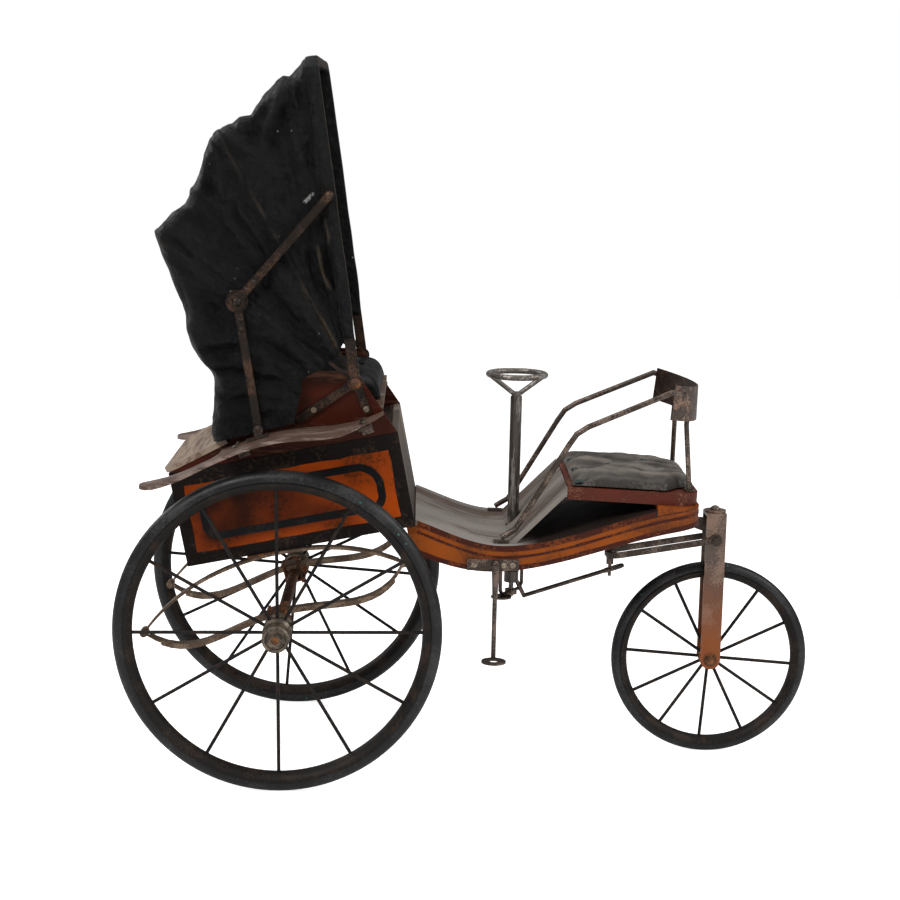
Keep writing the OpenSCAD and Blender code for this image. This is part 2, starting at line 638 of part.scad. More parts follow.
module riser_board() color("#77726c") from_axle() {
    foot = [riser_foot_x, floor_z(riser_foot_x) + 0.2];
    head = [front_seat_rear_x - 1.2, front_seat_z(front_seat_rear_x) - 1];
    v = head - foot;
    slope = atan2(v[1], v[0]);
    difference() {
        across(-inside_y, inside_y) difference() {
            polygon([foot, foot + [riser_t / sin(slope), 0], [head[0], head[1] - riser_t / cos(slope)], head]);
            polygon(concat([[foot[0] - 5, foot[1] - 40]],
                [for (x = steps(foot[0] - 5, head[0], 20)) [x, floor_z(x) + 0.2]], [[head[0], foot[1] - 40]]));
        }
        translate([column_x, 0, foot[1] - 50]) cylinder(d = column_d + 8, h = 150);
    }
}

// ---- front seat ----
front_half = front_seat_w / 2;
module on_front_seat() from_axle() translate([front_seat_x, 0, front_seat_z(front_seat_x)])
    rotate([0, seat_fall, 0]) children();
module front_seat_board() color("#8a3a22") on_front_seat() intersection() {
    translate([-front_seat_l, -front_half, -front_seat_t]) cube([front_seat_l, front_seat_w, front_seat_t]);
    translate([0, 0, -front_seat_t]) linear_extrude(front_seat_t) round_front(0, front_half, nose_round);
}
post_foot = [front_seat_x - 15, front_half - 30];
module front_cushion() color("#45464a") difference() {
    on_front_seat() intersection() {
        pad(-front_seat_l + 6, -4, front_half - 6, side_gap, front_cushion_t);
        linear_extrude(front_cushion_t + 1) round_front(-4, front_half - 6, nose_round - 4);
    }
    from_axle() for (s = [-1, 1]) translate([post_foot[0] - 13, s * (post_foot[1] + 11) - 24, nose_z])
        cube([40, 48, 80]);
}
backrest_x = front_seat_x + 1;
backrest_z = front_seat_z(front_seat_x) + 106;
backrest_half = asin(backrest_w / 2 / backrest_r);
backrest_tilt = 12;
backrest_cone = 11;
// Radius of the middle of the plate's wall at a height above its lower edge
function plate_r(h) = backrest_r - h * tan(backrest_cone);
// The place of a point given by its radius, angle and height on the backrest plate
function on_backrest(r, a, h) = let (t = backrest_tilt, up = h + backrest_r * sin(t))
    [backrest_x - backrest_r + r * cos(a) * cos(t) + up * sin(t), r * sin(a),
     backrest_z - r * cos(a) * sin(t) + up * cos(t)];
module at_backrest() from_axle() translate([backrest_x - backrest_r, 0, backrest_z])
    rotate([0, backrest_tilt, 0]) translate([0, 0, backrest_r * sin(backrest_tilt)]) children();
module backrest_plate() color("#5f554c") at_backrest() rotate(-backrest_half) rotate_extrude(angle = 2 * backrest_half)
    polygon([for (p = [[-1, 0], [1, 0], [1, backrest_h], [-1, backrest_h]])
        [plate_r(p[1]) + p[0] * backrest_t / 2, p[1]]]);
rail_foot_x = riser_foot_x - 12;
module hand_rails() color("#5b4a3c") from_axle() both_sides() {
    foot_z = floor_z(rail_foot_x);
    end_h = backrest_h * 0.8;
    end_r = plate_r(end_h) + backrest_t / 2 + rail_d / 2 + 1.1;
    bend = [rail_foot_x + 112, foot_z + 176];
    bar_path([
        [rail_foot_x, rail_y, foot_z + 3.8 + rail_d / 2], [rail_foot_x + 22, rail_y, foot_z + 22],
        [rail_foot_x + 38, rail_y, foot_z + 48], [bend[0] - 9, rail_y, bend[1] - 17],
        [bend[0] + 3, rail_y, bend[1] + 1], [bend[0] + 21, rail_y, bend[1] + 13],
        on_backrest(end_r, backrest_half + 4, end_h), on_backrest(end_r, backrest_half - 7, end_h)], rail_d);
    foot_rise = floor_z(rail_foot_x + 12) - floor_z(rail_foot_x - 12);
    translate([rail_foot_x - 12, rail_y - 8, floor_z(rail_foot_x - 12) + 0.5])
        rotate([0, -atan(foot_rise / 24), 0]) cube([24, 16, 3]);
}
post_d = 8;
post_top_y = 72;
module backrest_posts() color("#5b4a3c") from_axle() both_sides() {
    foot_z = front_seat_z(post_foot[0]);
    inset = backrest_t / 2 + post_d / 2 + 0.5;
    turn = asin(post_top_y / backrest_r);
    bar_path([
        [post_foot[0], post_foot[1], foot_z + 3], on_backrest(plate_r(-8) - inset, turn, -8),
        on_backrest(plate_r(18) - inset, turn, 18)], post_d);
    translate([post_foot[0], post_foot[1], foot_z + 0.6]) rotate([0, seat_fall, 0]) cylinder(d = 18, h = 3);
}

// ---- step iron, on the right-hand sill ----
step_x = low_corner[0] + 124;
step_plate_z = sill_z(step_x) - 23;
step_y = -sill_out_y - 8;
step_ring_t = 3;
module step_iron() color("#5a4a40") from_axle() {
    ring_z = step_plate_z - step_drop;
    rod_x = step_x + 4;
    translate([step_x - 41, -sill_out_y - 3.4, step_plate_z - 9]) cube([82, 3, 18]);
    translate([rod_x, step_y, step_plate_z - 50]) cylinder(d1 = 8.5, d2 = 13, h = 52);
    translate([rod_x, step_y, step_plate_z + 2]) sphere(d = 13);
    translate([rod_x, step_y, ring_z]) cylinder(d = 7.5, h = step_drop - 49);
    translate([rod_x, step_y - step_ring_d / 2 + 4.5, ring_z - step_ring_t]) difference() {
        cylinder(d = step_ring_d, h = step_ring_t);
        translate([0, 0, -1]) cylinder(d = step_bore_d, h = step_ring_t + 2);
    }
}
module screws() color("#b09468") from_axle() {
    mirror([0, 1, 0]) for (x = [step_x - 30, step_x + 17, step_x + 31])
        screw_across([x, step_plate_z], 9, sill_out_y + 3.6, x);
    both_sides() for (p = [plate_screw_a, plate_screw_b]) screw_across(p, 9, plate_y + plate_t + 0.1, p[0]);
}

// ---- fork head bracket and steering ----
module head_bracket() color("#4b423a") from_axle() {
    y = 5;
    difference() {
        union() {
            translate([wheelbase, 0, crown_z - side_gap - barrel_h]) cylinder(d = barrel_d, h = barrel_h);
            across(-y, y) polygon([
                [nose_x - 56, under_z(nose_x - 56) + 2.8], [nose_x - 30, crown_z - 8],
                [wheelbase - 4, crown_z - barrel_h], [wheelbase - 4, crown_z - 6],
                [nose_x + 10, crown_z - 5], [nose_x + 4, nose_z - sill_depth + 1]]);
        }
        translate([wheelbase, 0, crown_z - 2 * barrel_h]) cylinder(d = kingpin_d + 2 * running_gap, h = 3 * barrel_h);
        across(-50, 50) polygon(concat(
            [for (x = steps(nose_x - 70, nose_x, 12)) [x, under_z(x) + 2.8]],
            [[nose_x, nose_z + 20], [nose_x - 70, nose_z + 20]]));
    }
    across(-26, 26) polygon(concat(
        [for (x = steps(nose_x - 62, nose_x - 4, 10)) [x, under_z(x) + 2.8]],
        [for (x = steps(nose_x - 4, nose_x - 62, 10)) [x, under_z(x) - 1.2]]));
}
module column_stirrup() color("#4b423a") from_axle() {
    a = [column_x - 19, -30];
    b = [column_x + 19, 30];
    top_a = floor_z(a[0]) - floor_t - 0.3;
    top_b = floor_z(b[0]) - floor_t - 0.3;
    difference() {
        union() {
            bar_path([
                [a[0], a[1], top_a], [a[0], a[1], stirrup_z + 8], [a[0] + 4, a[1] + 6, stirrup_z],
                [b[0] - 4, b[1] - 6, stirrup_z], [b[0], b[1], stirrup_z + 8], [b[0], b[1], top_b]], 6);
            translate([column_x, 0, stirrup_z - 4]) cylinder(d = 20, h = 8);
        }
        translate([column_x, 0, stirrup_z - 20]) cylinder(d = foot_pin_d + 2 * running_gap, h = 40);
    }
    translate([a[0] + 2, a[1] + 3, stirrup_z - 4.5]) cylinder(d = 34, h = 2.5);
}
module steering_column() color("#4d4640") from_axle() difference() {
    union() {
        translate([column_x, 0, column_end_z + 16]) cylinder(d = column_d, h = column_top_z - column_end_z - 16);
        translate([column_x, 0, column_end_z]) cylinder(d = column_d + 5, h = 18);
        translate([column_x, 0, stirrup_z - 8]) cylinder(d = foot_pin_d, h = 28);
    }
    bar(crank_start, crank_knee, crank_d + 0.2);
}
ring_arm_x = ring_r * 0.62;
module ring_handle() color("#55493f") from_axle() translate([column_x, 0, 0]) {
    translate([0, 0, ring_z]) rotate_extrude() translate([ring_r, 0]) circle(d = ring_bar_d);
    difference() {
        for (s = [-1, 1]) bar([0, 0, column_top_z + 1], [s * ring_r, 0, ring_z], ring_bar_d - 1.5);
        translate([0, 0, column_top_z - 19.8]) cylinder(d = column_d + 10, h = 20);
    }
    translate([0, 0, column_top_z + 0.2]) cylinder(d = column_d - 3, h = 7);
}
crank_start = [column_x + 6, 0, column_end_z + 7];
crank_knee = [column_x + 22, 0, column_end_z - 24];
crank_rise = atan2(crank_end_z - crank_knee[2], yoke_pin_x - crank_knee[0]);
crank_end = [yoke_pin_x - 10 * cos(crank_rise), 0, crank_end_z - 10 * sin(crank_rise)];
slot_w = yoke_pin_d + 2 * slot_play;
slot_l = 18;
module crank_rod() color("#4f463d") from_axle() {
    bar_path([crank_start, crank_knee, crank_end], crank_d);
    translate([yoke_pin_x, 0, crank_end_z]) rotate([0, -crank_rise, 0])
        translate([0, 0, -2]) linear_extrude(4) difference() {
            translate([slot_l / 2 - 3, 0]) long_hole(slot_l, slot_w / 2 + 4);
            translate([slot_l / 2 - 3, 0]) long_hole(slot_l, slot_w / 2);
        }
}
module fork() color("#6b4a38") from_axle() difference() {
    union() {
        translate([wheelbase - fork_w / 2, -fork_y - fork_t, crown_z])
            cube([fork_w, 2 * (fork_y + fork_t), crown_t]);
        both_sides() translate([wheelbase - fork_w / 2, fork_y, front_r]) cube([fork_w, fork_t, crown_z + 1 - front_r]);
        both_sides() pin_across([wheelbase, front_r], fork_w, fork_y, fork_y + fork_t);
    }
    translate([wheelbase, 0, crown_z - 1]) cylinder(d = kingpin_d + 0.2, h = crown_t + 2);
    pin_across([wheelbase, front_r], front_axle_d + 0.2, -60, 60);
    pin_across([wheelbase, yoke_bolt_z], yoke_bolt_d + 0.2, -60, 60);
}
yoke_bolt_d = 7;
module kingpin() color("#8a6a50") from_axle() translate([wheelbase, 0, 0]) {
    translate([0, 0, crown_z - barrel_h - 4]) cylinder(d = kingpin_d, h = barrel_h + crown_t + 5);
    translate([0, 0, crown_z - barrel_h - 7]) cylinder(d = 19, h = 6, $fn = 6);
    translate([0, 0, crown_z + crown_t + 0.3]) cylinder(d = fork_w + 3, h = 3);
    translate([0, 0, crown_z + crown_t + 3.2]) intersection() {
        cylinder(d = 16, h = 8);
        translate([0, 0, -1]) sphere(d = 17);
    }
}
yoke_y = fork_y + fork_t + 0.2;
module yoke() color("#4f443b") from_axle() {
    rear_r = yoke_y + yoke_bar_t - 6;
    translate([wheelbase, 0, yoke_bolt_z]) rotate([0, -yoke_tilt, 0]) difference() {
        union() {
            both_sides() {
                translate([-yoke_reach / cos(yoke_tilt) + 18, yoke_y, -yoke_bar_h / 2])
                    cube([yoke_reach / cos(yoke_tilt) - 18, yoke_bar_t, yoke_bar_h]);
                pin_across([0, 0], 20, yoke_y, yoke_y + yoke_bar_t);
            }
            translate([-yoke_reach / cos(yoke_tilt) + 18, 0, -yoke_bar_h / 2]) rotate(90)
                rotate_extrude(angle = 180) translate([yoke_y, 0]) square([yoke_bar_t, yoke_bar_h]);
        }
        pin_across([0, 0], yoke_bolt_d + 0.2, -60, 60);
    }
    translate([yoke_pin_x, 0, crank_end_z + 9.5]) cylinder(d = 12, h = yoke_rear_z - crank_end_z - 3.5);
    translate([yoke_pin_x, 0, crank_end_z - 11]) cylinder(d = yoke_pin_d, h = 22);
    translate([yoke_pin_x - 9, -6, yoke_rear_z - 3]) cube([10, 12, 6]);
    pin_across([wheelbase, yoke_bolt_z], yoke_bolt_d, -yoke_y - yoke_bar_t - 5, -fork_y + 1);
    pin_across([wheelbase, yoke_bolt_z], yoke_bolt_d, fork_y - 1, yoke_y + yoke_bar_t + 5);
    both_sides() translate([wheelbase, yoke_y + yoke_bar_t, yoke_bolt_z]) rotate([-90, 0, 0])
        cylinder(d = 13, h = 4, $fn = 6);
}
module front_axle() color("#8a5a3a") from_axle() {
    y = fork_y + fork_t + 0.2;
    pin_across([wheelbase, front_r], front_axle_d, -y - 9, y + 9);
    both_sides() {
        pin_across([wheelbase, front_r], 22, y, y + 1.5);
        translate([wheelbase, y + 1.5, front_r]) rotate([-90, 0, 0]) cylinder(d = 17, h = 6, $fn = 6);
    }
}

// ---- hood ----
plate_foot_a = top_corner + [-152, 18];
plate_foot_b = top_corner + [-48, 34];
plate_screw_a = plate_foot_a + [22, 15];
plate_screw_b = plate_foot_b + [-1, 2];
module hood_plates() color("#2c2a29") from_axle() both_sides() difference() {
    y = plate_y + plate_t;
    union() {
        link(plate_foot_a, pivot, 13, plate_y, y);
        link(plate_foot_b, pivot, 12, plate_y, y);
        pin_across(pivot, 22, plate_y, y);
    }
    pin_across(pivot, pivot_d + 0.2, 0, 300);
}
module hood_pivots() color("#6a5848") from_axle() both_sides() {
    pin_across(pivot, pivot_d, plate_y, front_bow_y + front_bow_t + 2);
    pin_across(pivot, 17, front_bow_y + front_bow_t + side_gap, front_bow_y + front_bow_t + 3);
    dome_across(pivot, 17, front_bow_y + front_bow_t + 2.9, 4);
}
// A bow: an upright hoop with flat legs beside the body, leaning back about the pivots
module bow(l, lean, y0, t, w, eye) from_axle() translate([pivot[0], 0, pivot[1]]) rotate([0, -lean, 0]) {
    r = 34;
    difference() {
        union() {
            both_sides() {
                translate([-w / 2, y0, 0]) cube([w, t, l - r]);
                pin_across([0, 0], eye, y0, y0 + t);
                translate([-w / 2, y0 + t - r, l - r]) rotate([90, 0, 90])
                    rotate_extrude(angle = 90) translate([r - t, 0]) square([t, w]);
            }
            translate([-w / 2, -y0 - t + r, l - t]) cube([w, 2 * (y0 + t - r), t]);
        }
        pin_across([0, 0], pivot_d + 2 * running_gap, -300, 300);
    }
}
module rear_bow() color("#3d332c") bow(rear_bow_l, rear_bow_lean, rear_bow_y, iron_t - 0.5, iron_bow_w, 15);
module mid_bow() color("#3d332c") bow(mid_bow_l, mid_bow_lean, mid_bow_y, iron_t - 0.5, iron_bow_w, 15);
module front_bow() color("#4a3426") bow(front_bow_l, front_bow_lean, front_bow_y, front_bow_t, front_bow_w, 24);

// Hood cloth between two bows, each given as length, lean and hem height: sides and roof
roof_lift = 1.2;
sag_steps = [0, 0.12, 0.22, 0.36, 0.5, 0.64, 0.78, 0.92, 1];
function sag_points(l0, lean0, l1, lean1, extra, sag) = [for (t = sag_steps)
    let (s = max(0, min(1, (t - 0.12) / 0.8)))
    lean_point(pivot, lean0 + (lean1 - lean0) * t, l0 + (l1 - l0) * s + extra - sag * sin(180 * s))];
module cloth_section(l0, lean0, hem0, l1, lean1, hem1, sag) {
    roof = sag_points(l0, lean0, l1, lean1, cloth_t + roof_lift, sag);
    difference() {
        across(-cloth_y - cloth_t, cloth_y + cloth_t) polygon(concat(
            [lean_point(pivot, lean1, hem1), lean_point(pivot, lean0, hem0)], roof));
        across(-cloth_y, cloth_y) polygon(concat(
            [lean_point(pivot, lean1 + 9, 10), lean_point(pivot, lean0 - 9, 10)],
            [lean_point(pivot, lean0 - 3, l0 + roof_lift)],
            [for (p = roof) p - cloth_t * (p - pivot) / norm(p - pivot)],
            [lean_point(pivot, lean1 + 3, l1 + roof_lift)]));
    }
}
half_bow = 0.35;
hem_front = 74;
hem_mid = 52;
module canopy_front() color("#2a2a2b") from_axle() difference() {
    cloth_section(front_bow_l, front_bow_lean - 0.9, hem_front, mid_bow_l, mid_bow_lean - half_bow, hem_mid, 6);
    pin_across(iron_top, 18, -300, 300);
}
module canopy_mid() color("#2a2a2b") from_axle()
    cloth_section(mid_bow_l, mid_bow_lean + half_bow, hem_mid, rear_bow_l, rear_bow_lean - half_bow, hem_mid, 6);
curtain_foot = [arm_tail[0] - 10, arm_tail[1] + deck_t / cos(deck_slope) + 4];
module canopy_rear() color("#2a2a2b") from_axle() {
    hem_x = top_corner[0] - 158;
    side = concat(
        [lean_point(pivot, rear_bow_lean + half_bow, hem_mid)],
        [for (a = [half_bow, 1]) lean_point(pivot, rear_bow_lean + a, rear_bow_l + cloth_t + roof_lift)],
        curtain, [for (x = steps(curtain_foot[0], hem_x, 5)) [x, wing_z(x) + wing_t / 2 + 5]]);
    inner = concat(
        [lean_point(pivot, rear_bow_lean + half_bow, 0) + [30, -20]],
        [lean_point(pivot, rear_bow_lean - 20, rear_bow_l - 20)],
        [for (a = [half_bow, 0.8]) lean_point(pivot, rear_bow_lean + a, rear_bow_l + roof_lift)],
        [for (p = curtain) p + [cloth_t, 0]], [[curtain_foot[0] + cloth_t, curtain_foot[1] - 60], [hem_x + 60, curtain_foot[1] - 60]]);
    difference() {
        across(-cloth_y - cloth_t, cloth_y + cloth_t) polygon(side);
        across(-cloth_y, cloth_y) polygon(inner);
        across(-side_y - 8, side_y + 8) polygon([
            curtain_foot + [-20, -30], curtain_foot + [-20, 0], curtain_foot + [20, 0], curtain_foot + [20, -30]]);
    }
}
// The back curtain from the rear bow's tip down to the deck, hollow in the middle
curtain = let (top = lean_point(pivot, rear_bow_lean + 1, rear_bow_l + cloth_t + roof_lift))
    [for (t = steps(0.12, 1, 7)) top + t * (curtain_foot - top)
        + [-16 * sin(180 * t) * (1 - t) + 14 * sin(180 * t) * t, 0]];

// Hood irons: a lower link on a foot at the wing and an upper link to the front bow
module iron_feet() color("#4a3f38") from_axle() both_sides() {
    y1 = foot_lug_y + foot_lug_t;
    lean = atan(line_slope(wing_line, iron_foot[0]));
    pin_across(iron_foot, 15, foot_lug_y, y1);
    pin_across(iron_foot, iron_pin_d, lower_iron_y - 1, y1);
    translate([iron_foot[0] - 6, foot_lug_y, wing_z(iron_foot[0]) + wing_t / 2 + 2]) cube([12, foot_lug_t, 10]);
    translate([iron_foot[0], 0, wing_z(iron_foot[0])]) rotate([0, -lean, 0])
        translate([-17, foot_lug_y, wing_t / 2 + 0.5]) cube([34, 19, 3]);
}
knuckle_d = 34;
module lower_irons() color("#4a3d33") from_axle() both_sides() {
    y1 = lower_iron_y + iron_t;
    v = (knuckle - iron_foot) / norm(knuckle - iron_foot);
    difference() {
        union() {
            link(iron_foot, knuckle, iron_w, lower_iron_y, y1);
            pin_across(iron_foot, 15, lower_iron_y, y1);
            pin_across(knuckle, knuckle_d, lower_iron_y, y1);
        }
        pin_across(iron_foot, iron_pin_d + 2 * running_gap, 0, 300);
    }
    pin_across(knuckle, pivot_d, y1 - 1, upper_iron_y + iron_t + 2);
    dome_across(knuckle, 15, upper_iron_y + iron_t + side_gap, 5);
    for (d = [-28, -42]) dome_across(knuckle + d * v, 9, y1 - 0.1, 3);
}
module upper_irons() color("#4a3d33") from_axle() both_sides() {
    y1 = upper_iron_y + iron_t;
    v = (iron_top - knuckle) / norm(iron_top - knuckle);
    difference() {
        union() {
            link(knuckle, iron_top, iron_w, upper_iron_y, y1);
            pin_across(knuckle, knuckle_d - 8, upper_iron_y, y1);
            pin_across(iron_top, 14, front_bow_y + front_bow_t + side_gap, y1);
        }
        pin_across(knuckle, pivot_d + 2 * running_gap, 0, 300);
    }
    dome_across(iron_top, 12, y1 - 0.1, 3);
    for (d = [24, 40]) dome_across(knuckle + d * v, 9, y1 - 0.1, 3);
}

rear_axle();
axle_nuts();
spring_upper_leaves();
spring_lower_leaves();
spring_bolts();
spring_clips();
box_sides();
box_front_wall();
box_back();
box_boards();
arm_panels();
seat_front_board();
rear_seat_board();
rear_cushion();
seat_back();
wing_right();
wing_left();
wing_brackets();
rear_deck();
sill_boards();
nose_block();
floor_board();
riser_board();
front_seat_board();
front_cushion();
hand_rails();
backrest_plate();
backrest_posts();
step_iron();
screws();
head_bracket();
column_stirrup();
hood_plates();
hood_pivots();
iron_feet();
steering_column();
ring_handle();
crank_rod();
fork();
kingpin();
yoke();
front_axle();
front_hub();
front_rim();
front_tyre();
right_hub();
right_rim();
right_tyre();
left_hub();
left_rim();
left_tyre();
rear_bow();
mid_bow();
front_bow();
canopy_rear();
canopy_mid();
canopy_front();
lower_irons();
upper_irons();
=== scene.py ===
"""Dresses the hooded carriage tricycle: paint, wood, leather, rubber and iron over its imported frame.

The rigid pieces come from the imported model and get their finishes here. The hood's cloth, the two cushions
and the painted lines and fields are surfaces worked out with numpy. Lengths are in metres, unless a name
or a docstring says millimetres. The frame is the model's own: X forward, Y to the left, Z up.
"""

import json
import logging
import math
from dataclasses import dataclass
from enum import Enum

import bpy
import numpy as np
from mathutils import Matrix, Vector


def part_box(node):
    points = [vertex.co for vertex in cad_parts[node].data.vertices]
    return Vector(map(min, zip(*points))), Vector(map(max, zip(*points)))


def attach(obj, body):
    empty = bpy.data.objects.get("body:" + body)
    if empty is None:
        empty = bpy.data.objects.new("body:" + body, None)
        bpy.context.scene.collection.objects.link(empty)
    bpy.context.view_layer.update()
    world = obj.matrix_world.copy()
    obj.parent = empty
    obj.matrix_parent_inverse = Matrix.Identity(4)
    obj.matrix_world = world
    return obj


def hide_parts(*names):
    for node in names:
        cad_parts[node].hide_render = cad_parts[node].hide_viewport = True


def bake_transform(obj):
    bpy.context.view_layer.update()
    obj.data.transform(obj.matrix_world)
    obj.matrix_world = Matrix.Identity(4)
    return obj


Array = np.ndarray
Piece = bpy.types.Object
Tree = bpy.types.NodeTree
Socket = bpy.types.NodeSocket
Spot = tuple[float, float, float]

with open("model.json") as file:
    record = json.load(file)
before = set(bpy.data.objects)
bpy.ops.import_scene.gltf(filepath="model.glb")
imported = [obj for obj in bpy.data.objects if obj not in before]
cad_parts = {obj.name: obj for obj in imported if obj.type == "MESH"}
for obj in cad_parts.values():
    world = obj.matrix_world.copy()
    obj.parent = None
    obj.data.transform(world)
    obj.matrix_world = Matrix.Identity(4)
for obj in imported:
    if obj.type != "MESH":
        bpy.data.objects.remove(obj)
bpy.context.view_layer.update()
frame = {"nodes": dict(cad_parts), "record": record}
LOG = logging.getLogger("tricycle")
MM = 0.001
# Where the painted shadow on the floor board begins under the front seat, and over what length it deepens
SHADE_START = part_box("riser_board")[0][0] + 0.012
SHADE_RUN = 0.035
# How far a stained edge wanders up and down
RAGGED = 0.12
# A point between the planes of the box's two sides
BETWEEN_SIDES: Spot = (0.0, 0.0, 0.45)


# ---------------------------------------------------------------- numbers and meshes


def linear(hex_colour: str) -> tuple[float, float, float, float]:
    """Turns an sRGB hex colour into linear RGBA.

    Args:
        hex_colour: six hex digits after a hash.

    Returns:
        The linear red, green and blue with an alpha of one.
    """
    parts = [int(hex_colour[i : i + 2], 16) / 255 for i in (1, 3, 5)]
    light = [p / 12.92 if p <= 0.04045 else ((p + 0.055) / 1.055) ** 2.4 for p in parts]
    return (light[0], light[1], light[2], 1.0)


def smooth(t: Array) -> Array:
    """Eases a value from 0 to 1 with flat ends: 3t squared less 2t cubed."""
    t = np.clip(t, 0.0, 1.0)
    return t * t * (3 - 2 * t)


def soft_noise(a: Array, b: Array, seed: int) -> Array:
    """Smooth random height over the plane of a and b, from -1 to 1.

    A seeded grid of random heights, one per unit, is blended with smooth steps along both ways.

    Args:
        a: first coordinates, in cells.
        b: second coordinates, in cells.
        seed: picks the grid.

    Returns:
        The height at each point.
    """
    grid = np.random.default_rng(seed).uniform(-1, 1, (64, 64))
    ia, ib = np.floor(a).astype(int), np.floor(b).astype(int)
    fa, fb = smooth(a - ia), smooth(b - ib)

    def at(da: int, db: int) -> Array:
        """Grid height at the cell corner da, db steps on."""
        return grid[(ia + da) % 64, (ib + db) % 64]

    low = at(0, 0) * (1 - fa) + at(1, 0) * fa
    high = at(0, 1) * (1 - fa) + at(1, 1) * fa
    return low * (1 - fb) + high * fb


def along(points: list[tuple[float, ...]], t: Array) -> Array:
    """Places at shares t of a broken line's length, rounded by a short running mean.

    Args:
        points: the line's corners.
        t: shares of the length, from 0 to 1.

    Returns:
        An array with one row per share.
    """
    line = np.array(points, float)
    steps = np.concatenate([[0.0], np.cumsum(np.linalg.norm(np.diff(line, axis=0), axis=1))])
    reach = 0.03
    shares = [np.clip(t + d, 0, 1) * steps[-1] for d in (-reach, -reach / 2, 0, reach / 2, reach)]
    rows = [np.stack([np.interp(s, steps, line[:, k]) for k in range(line.shape[1])], 1) for s in shares]
    mean = sum(rows) / len(rows)
    edge = smooth(np.minimum(t, 1 - t) / reach)[:, None]
    return mean * edge + rows[2] * (1 - edge)


def grid_faces(rows: int, cols: int, round_rows: bool = False, round_cols: bool = False) -> Array:
    """Quads over a grid of points stored row by row.

    Args:
        rows: points along the first way.
        cols: points along the second way.
        round_rows: joins the last row to the first.
        round_cols: joins the last column to the first.

    Returns:
        One row of four point numbers per quad.
    """
    i = np.arange(rows if round_rows else rows - 1)
    j = np.arange(cols if round_cols else cols - 1)
    i, j = [k.ravel() for k in np.meshgrid(i, j, indexing="ij")]
    i2, j2 = (i + 1) % rows, (j + 1) % cols
    return np.stack([i * cols + j, i * cols + j2, i2 * cols + j2, i2 * cols + j], 1)


def make_mesh(name: str, points: Array, faces: Array, shade_smooth: bool = True) -> Piece:
    """Puts points and quads into a new object that sits at the origin.

    Args:
        name: the piece's name.
        points: one row of X, Y and Z per point.
        faces: one row of four point numbers per quad.
        shade_smooth: shades the faces as one curve.

    Returns:
        The new object.
    """
    mesh = bpy.data.meshes.new(name)
    mesh.from_pydata(points.reshape(-1, 3).tolist(), [], faces.tolist())
    mesh.polygons.foreach_set("use_smooth", np.full(len(mesh.polygons), shade_smooth))
    mesh.update()
    piece = bpy.data.objects.new(name, mesh)
    bpy.context.scene.collection.objects.link(piece)
    return piece


def set_attribute(piece: Piece, name: str, values: Array) -> None:
    """Stores one number per point under a name that materials read."""
    attribute = piece.data.attributes.new(name, "FLOAT", "POINT")
    attribute.data.foreach_set("value", values.ravel().astype(np.float32))


def thicken(piece: Piece, thickness: float, offset: float) -> None:
    """Gives a sheet its thickness. Offset 1 grows it outwards and -1 inwards."""
    wall = piece.modifiers.new("wall", "SOLIDIFY")
    wall.thickness, wall.offset = thickness, offset


def face_outwards(piece: Piece, centre: Spot = (0.0, 0.0, 0.0)) -> None:
    """Turns all faces over when more of their area faces a point than away from it.

    The test sums each face's area times its normal dotted with the way from the point to the face. On a
    closed piece that is three times its volume, wherever the point is.

    Args:
        piece: the piece to turn.
        centre: the point.
    """
    faces = piece.data.polygons
    normals, middles, areas = np.zeros(len(faces) * 3), np.zeros(len(faces) * 3), np.zeros(len(faces))
    for key, values in (("normal", normals), ("center", middles), ("area", areas)):
        faces.foreach_get(key, values)
    away = middles.reshape(-1, 3) - np.array(centre)
    if (areas[:, None] * normals.reshape(-1, 3) * away).sum() < 0:
        piece.data.flip_normals()


# ---------------------------------------------------------------- finishes


def add(tree: Tree, kind: str, inputs: dict | None = None, **settings) -> bpy.types.Node:
    """Adds a shader node, sets its properties and fills or links its sockets.

    Args:
        tree: the material's node tree.
        kind: the node's type name.
        inputs: socket name or number to a value or to another node's output.
        **settings: properties of the node.

    Returns:
        The new node.
    """
    made = tree.nodes.new(kind)
    for key, value in settings.items():
        setattr(made, key, value)
    for key, value in (inputs or {}).items():
        if isinstance(value, Socket):
            tree.links.new(value, made.inputs[key])
        else:
            made.inputs[key].default_value = value
    return made


@dataclass(frozen=True)
class Coat:
    """A colour laid where a value rises from start to end, at its most by the share given."""

    value: Socket
    tint: str
    start: float = 0.0
    end: float = 1.0
    most: float = 1.0


def coats(tree: Tree, base: str, laid: list[Coat]) -> Socket:
    """Lays coats of colour over a base colour.

    Args:
        tree: the material's node tree.
        base: the base's hex colour.
        laid: the coats, in order.

    Returns:
        The colour of the whole.
    """
    colour = linear(base)
    for coat in laid:
        rising = {0: coat.value, 1: coat.start, 2: coat.end, 3: 0.0, 4: coat.most}
        share = add(tree, "ShaderNodeMapRange", rising).outputs[0]
        over = {0: share, 6: colour, 7: linear(coat.tint)}
        colour = add(tree, "ShaderNodeMix", over, data_type="RGBA").outputs[2]
    return colour


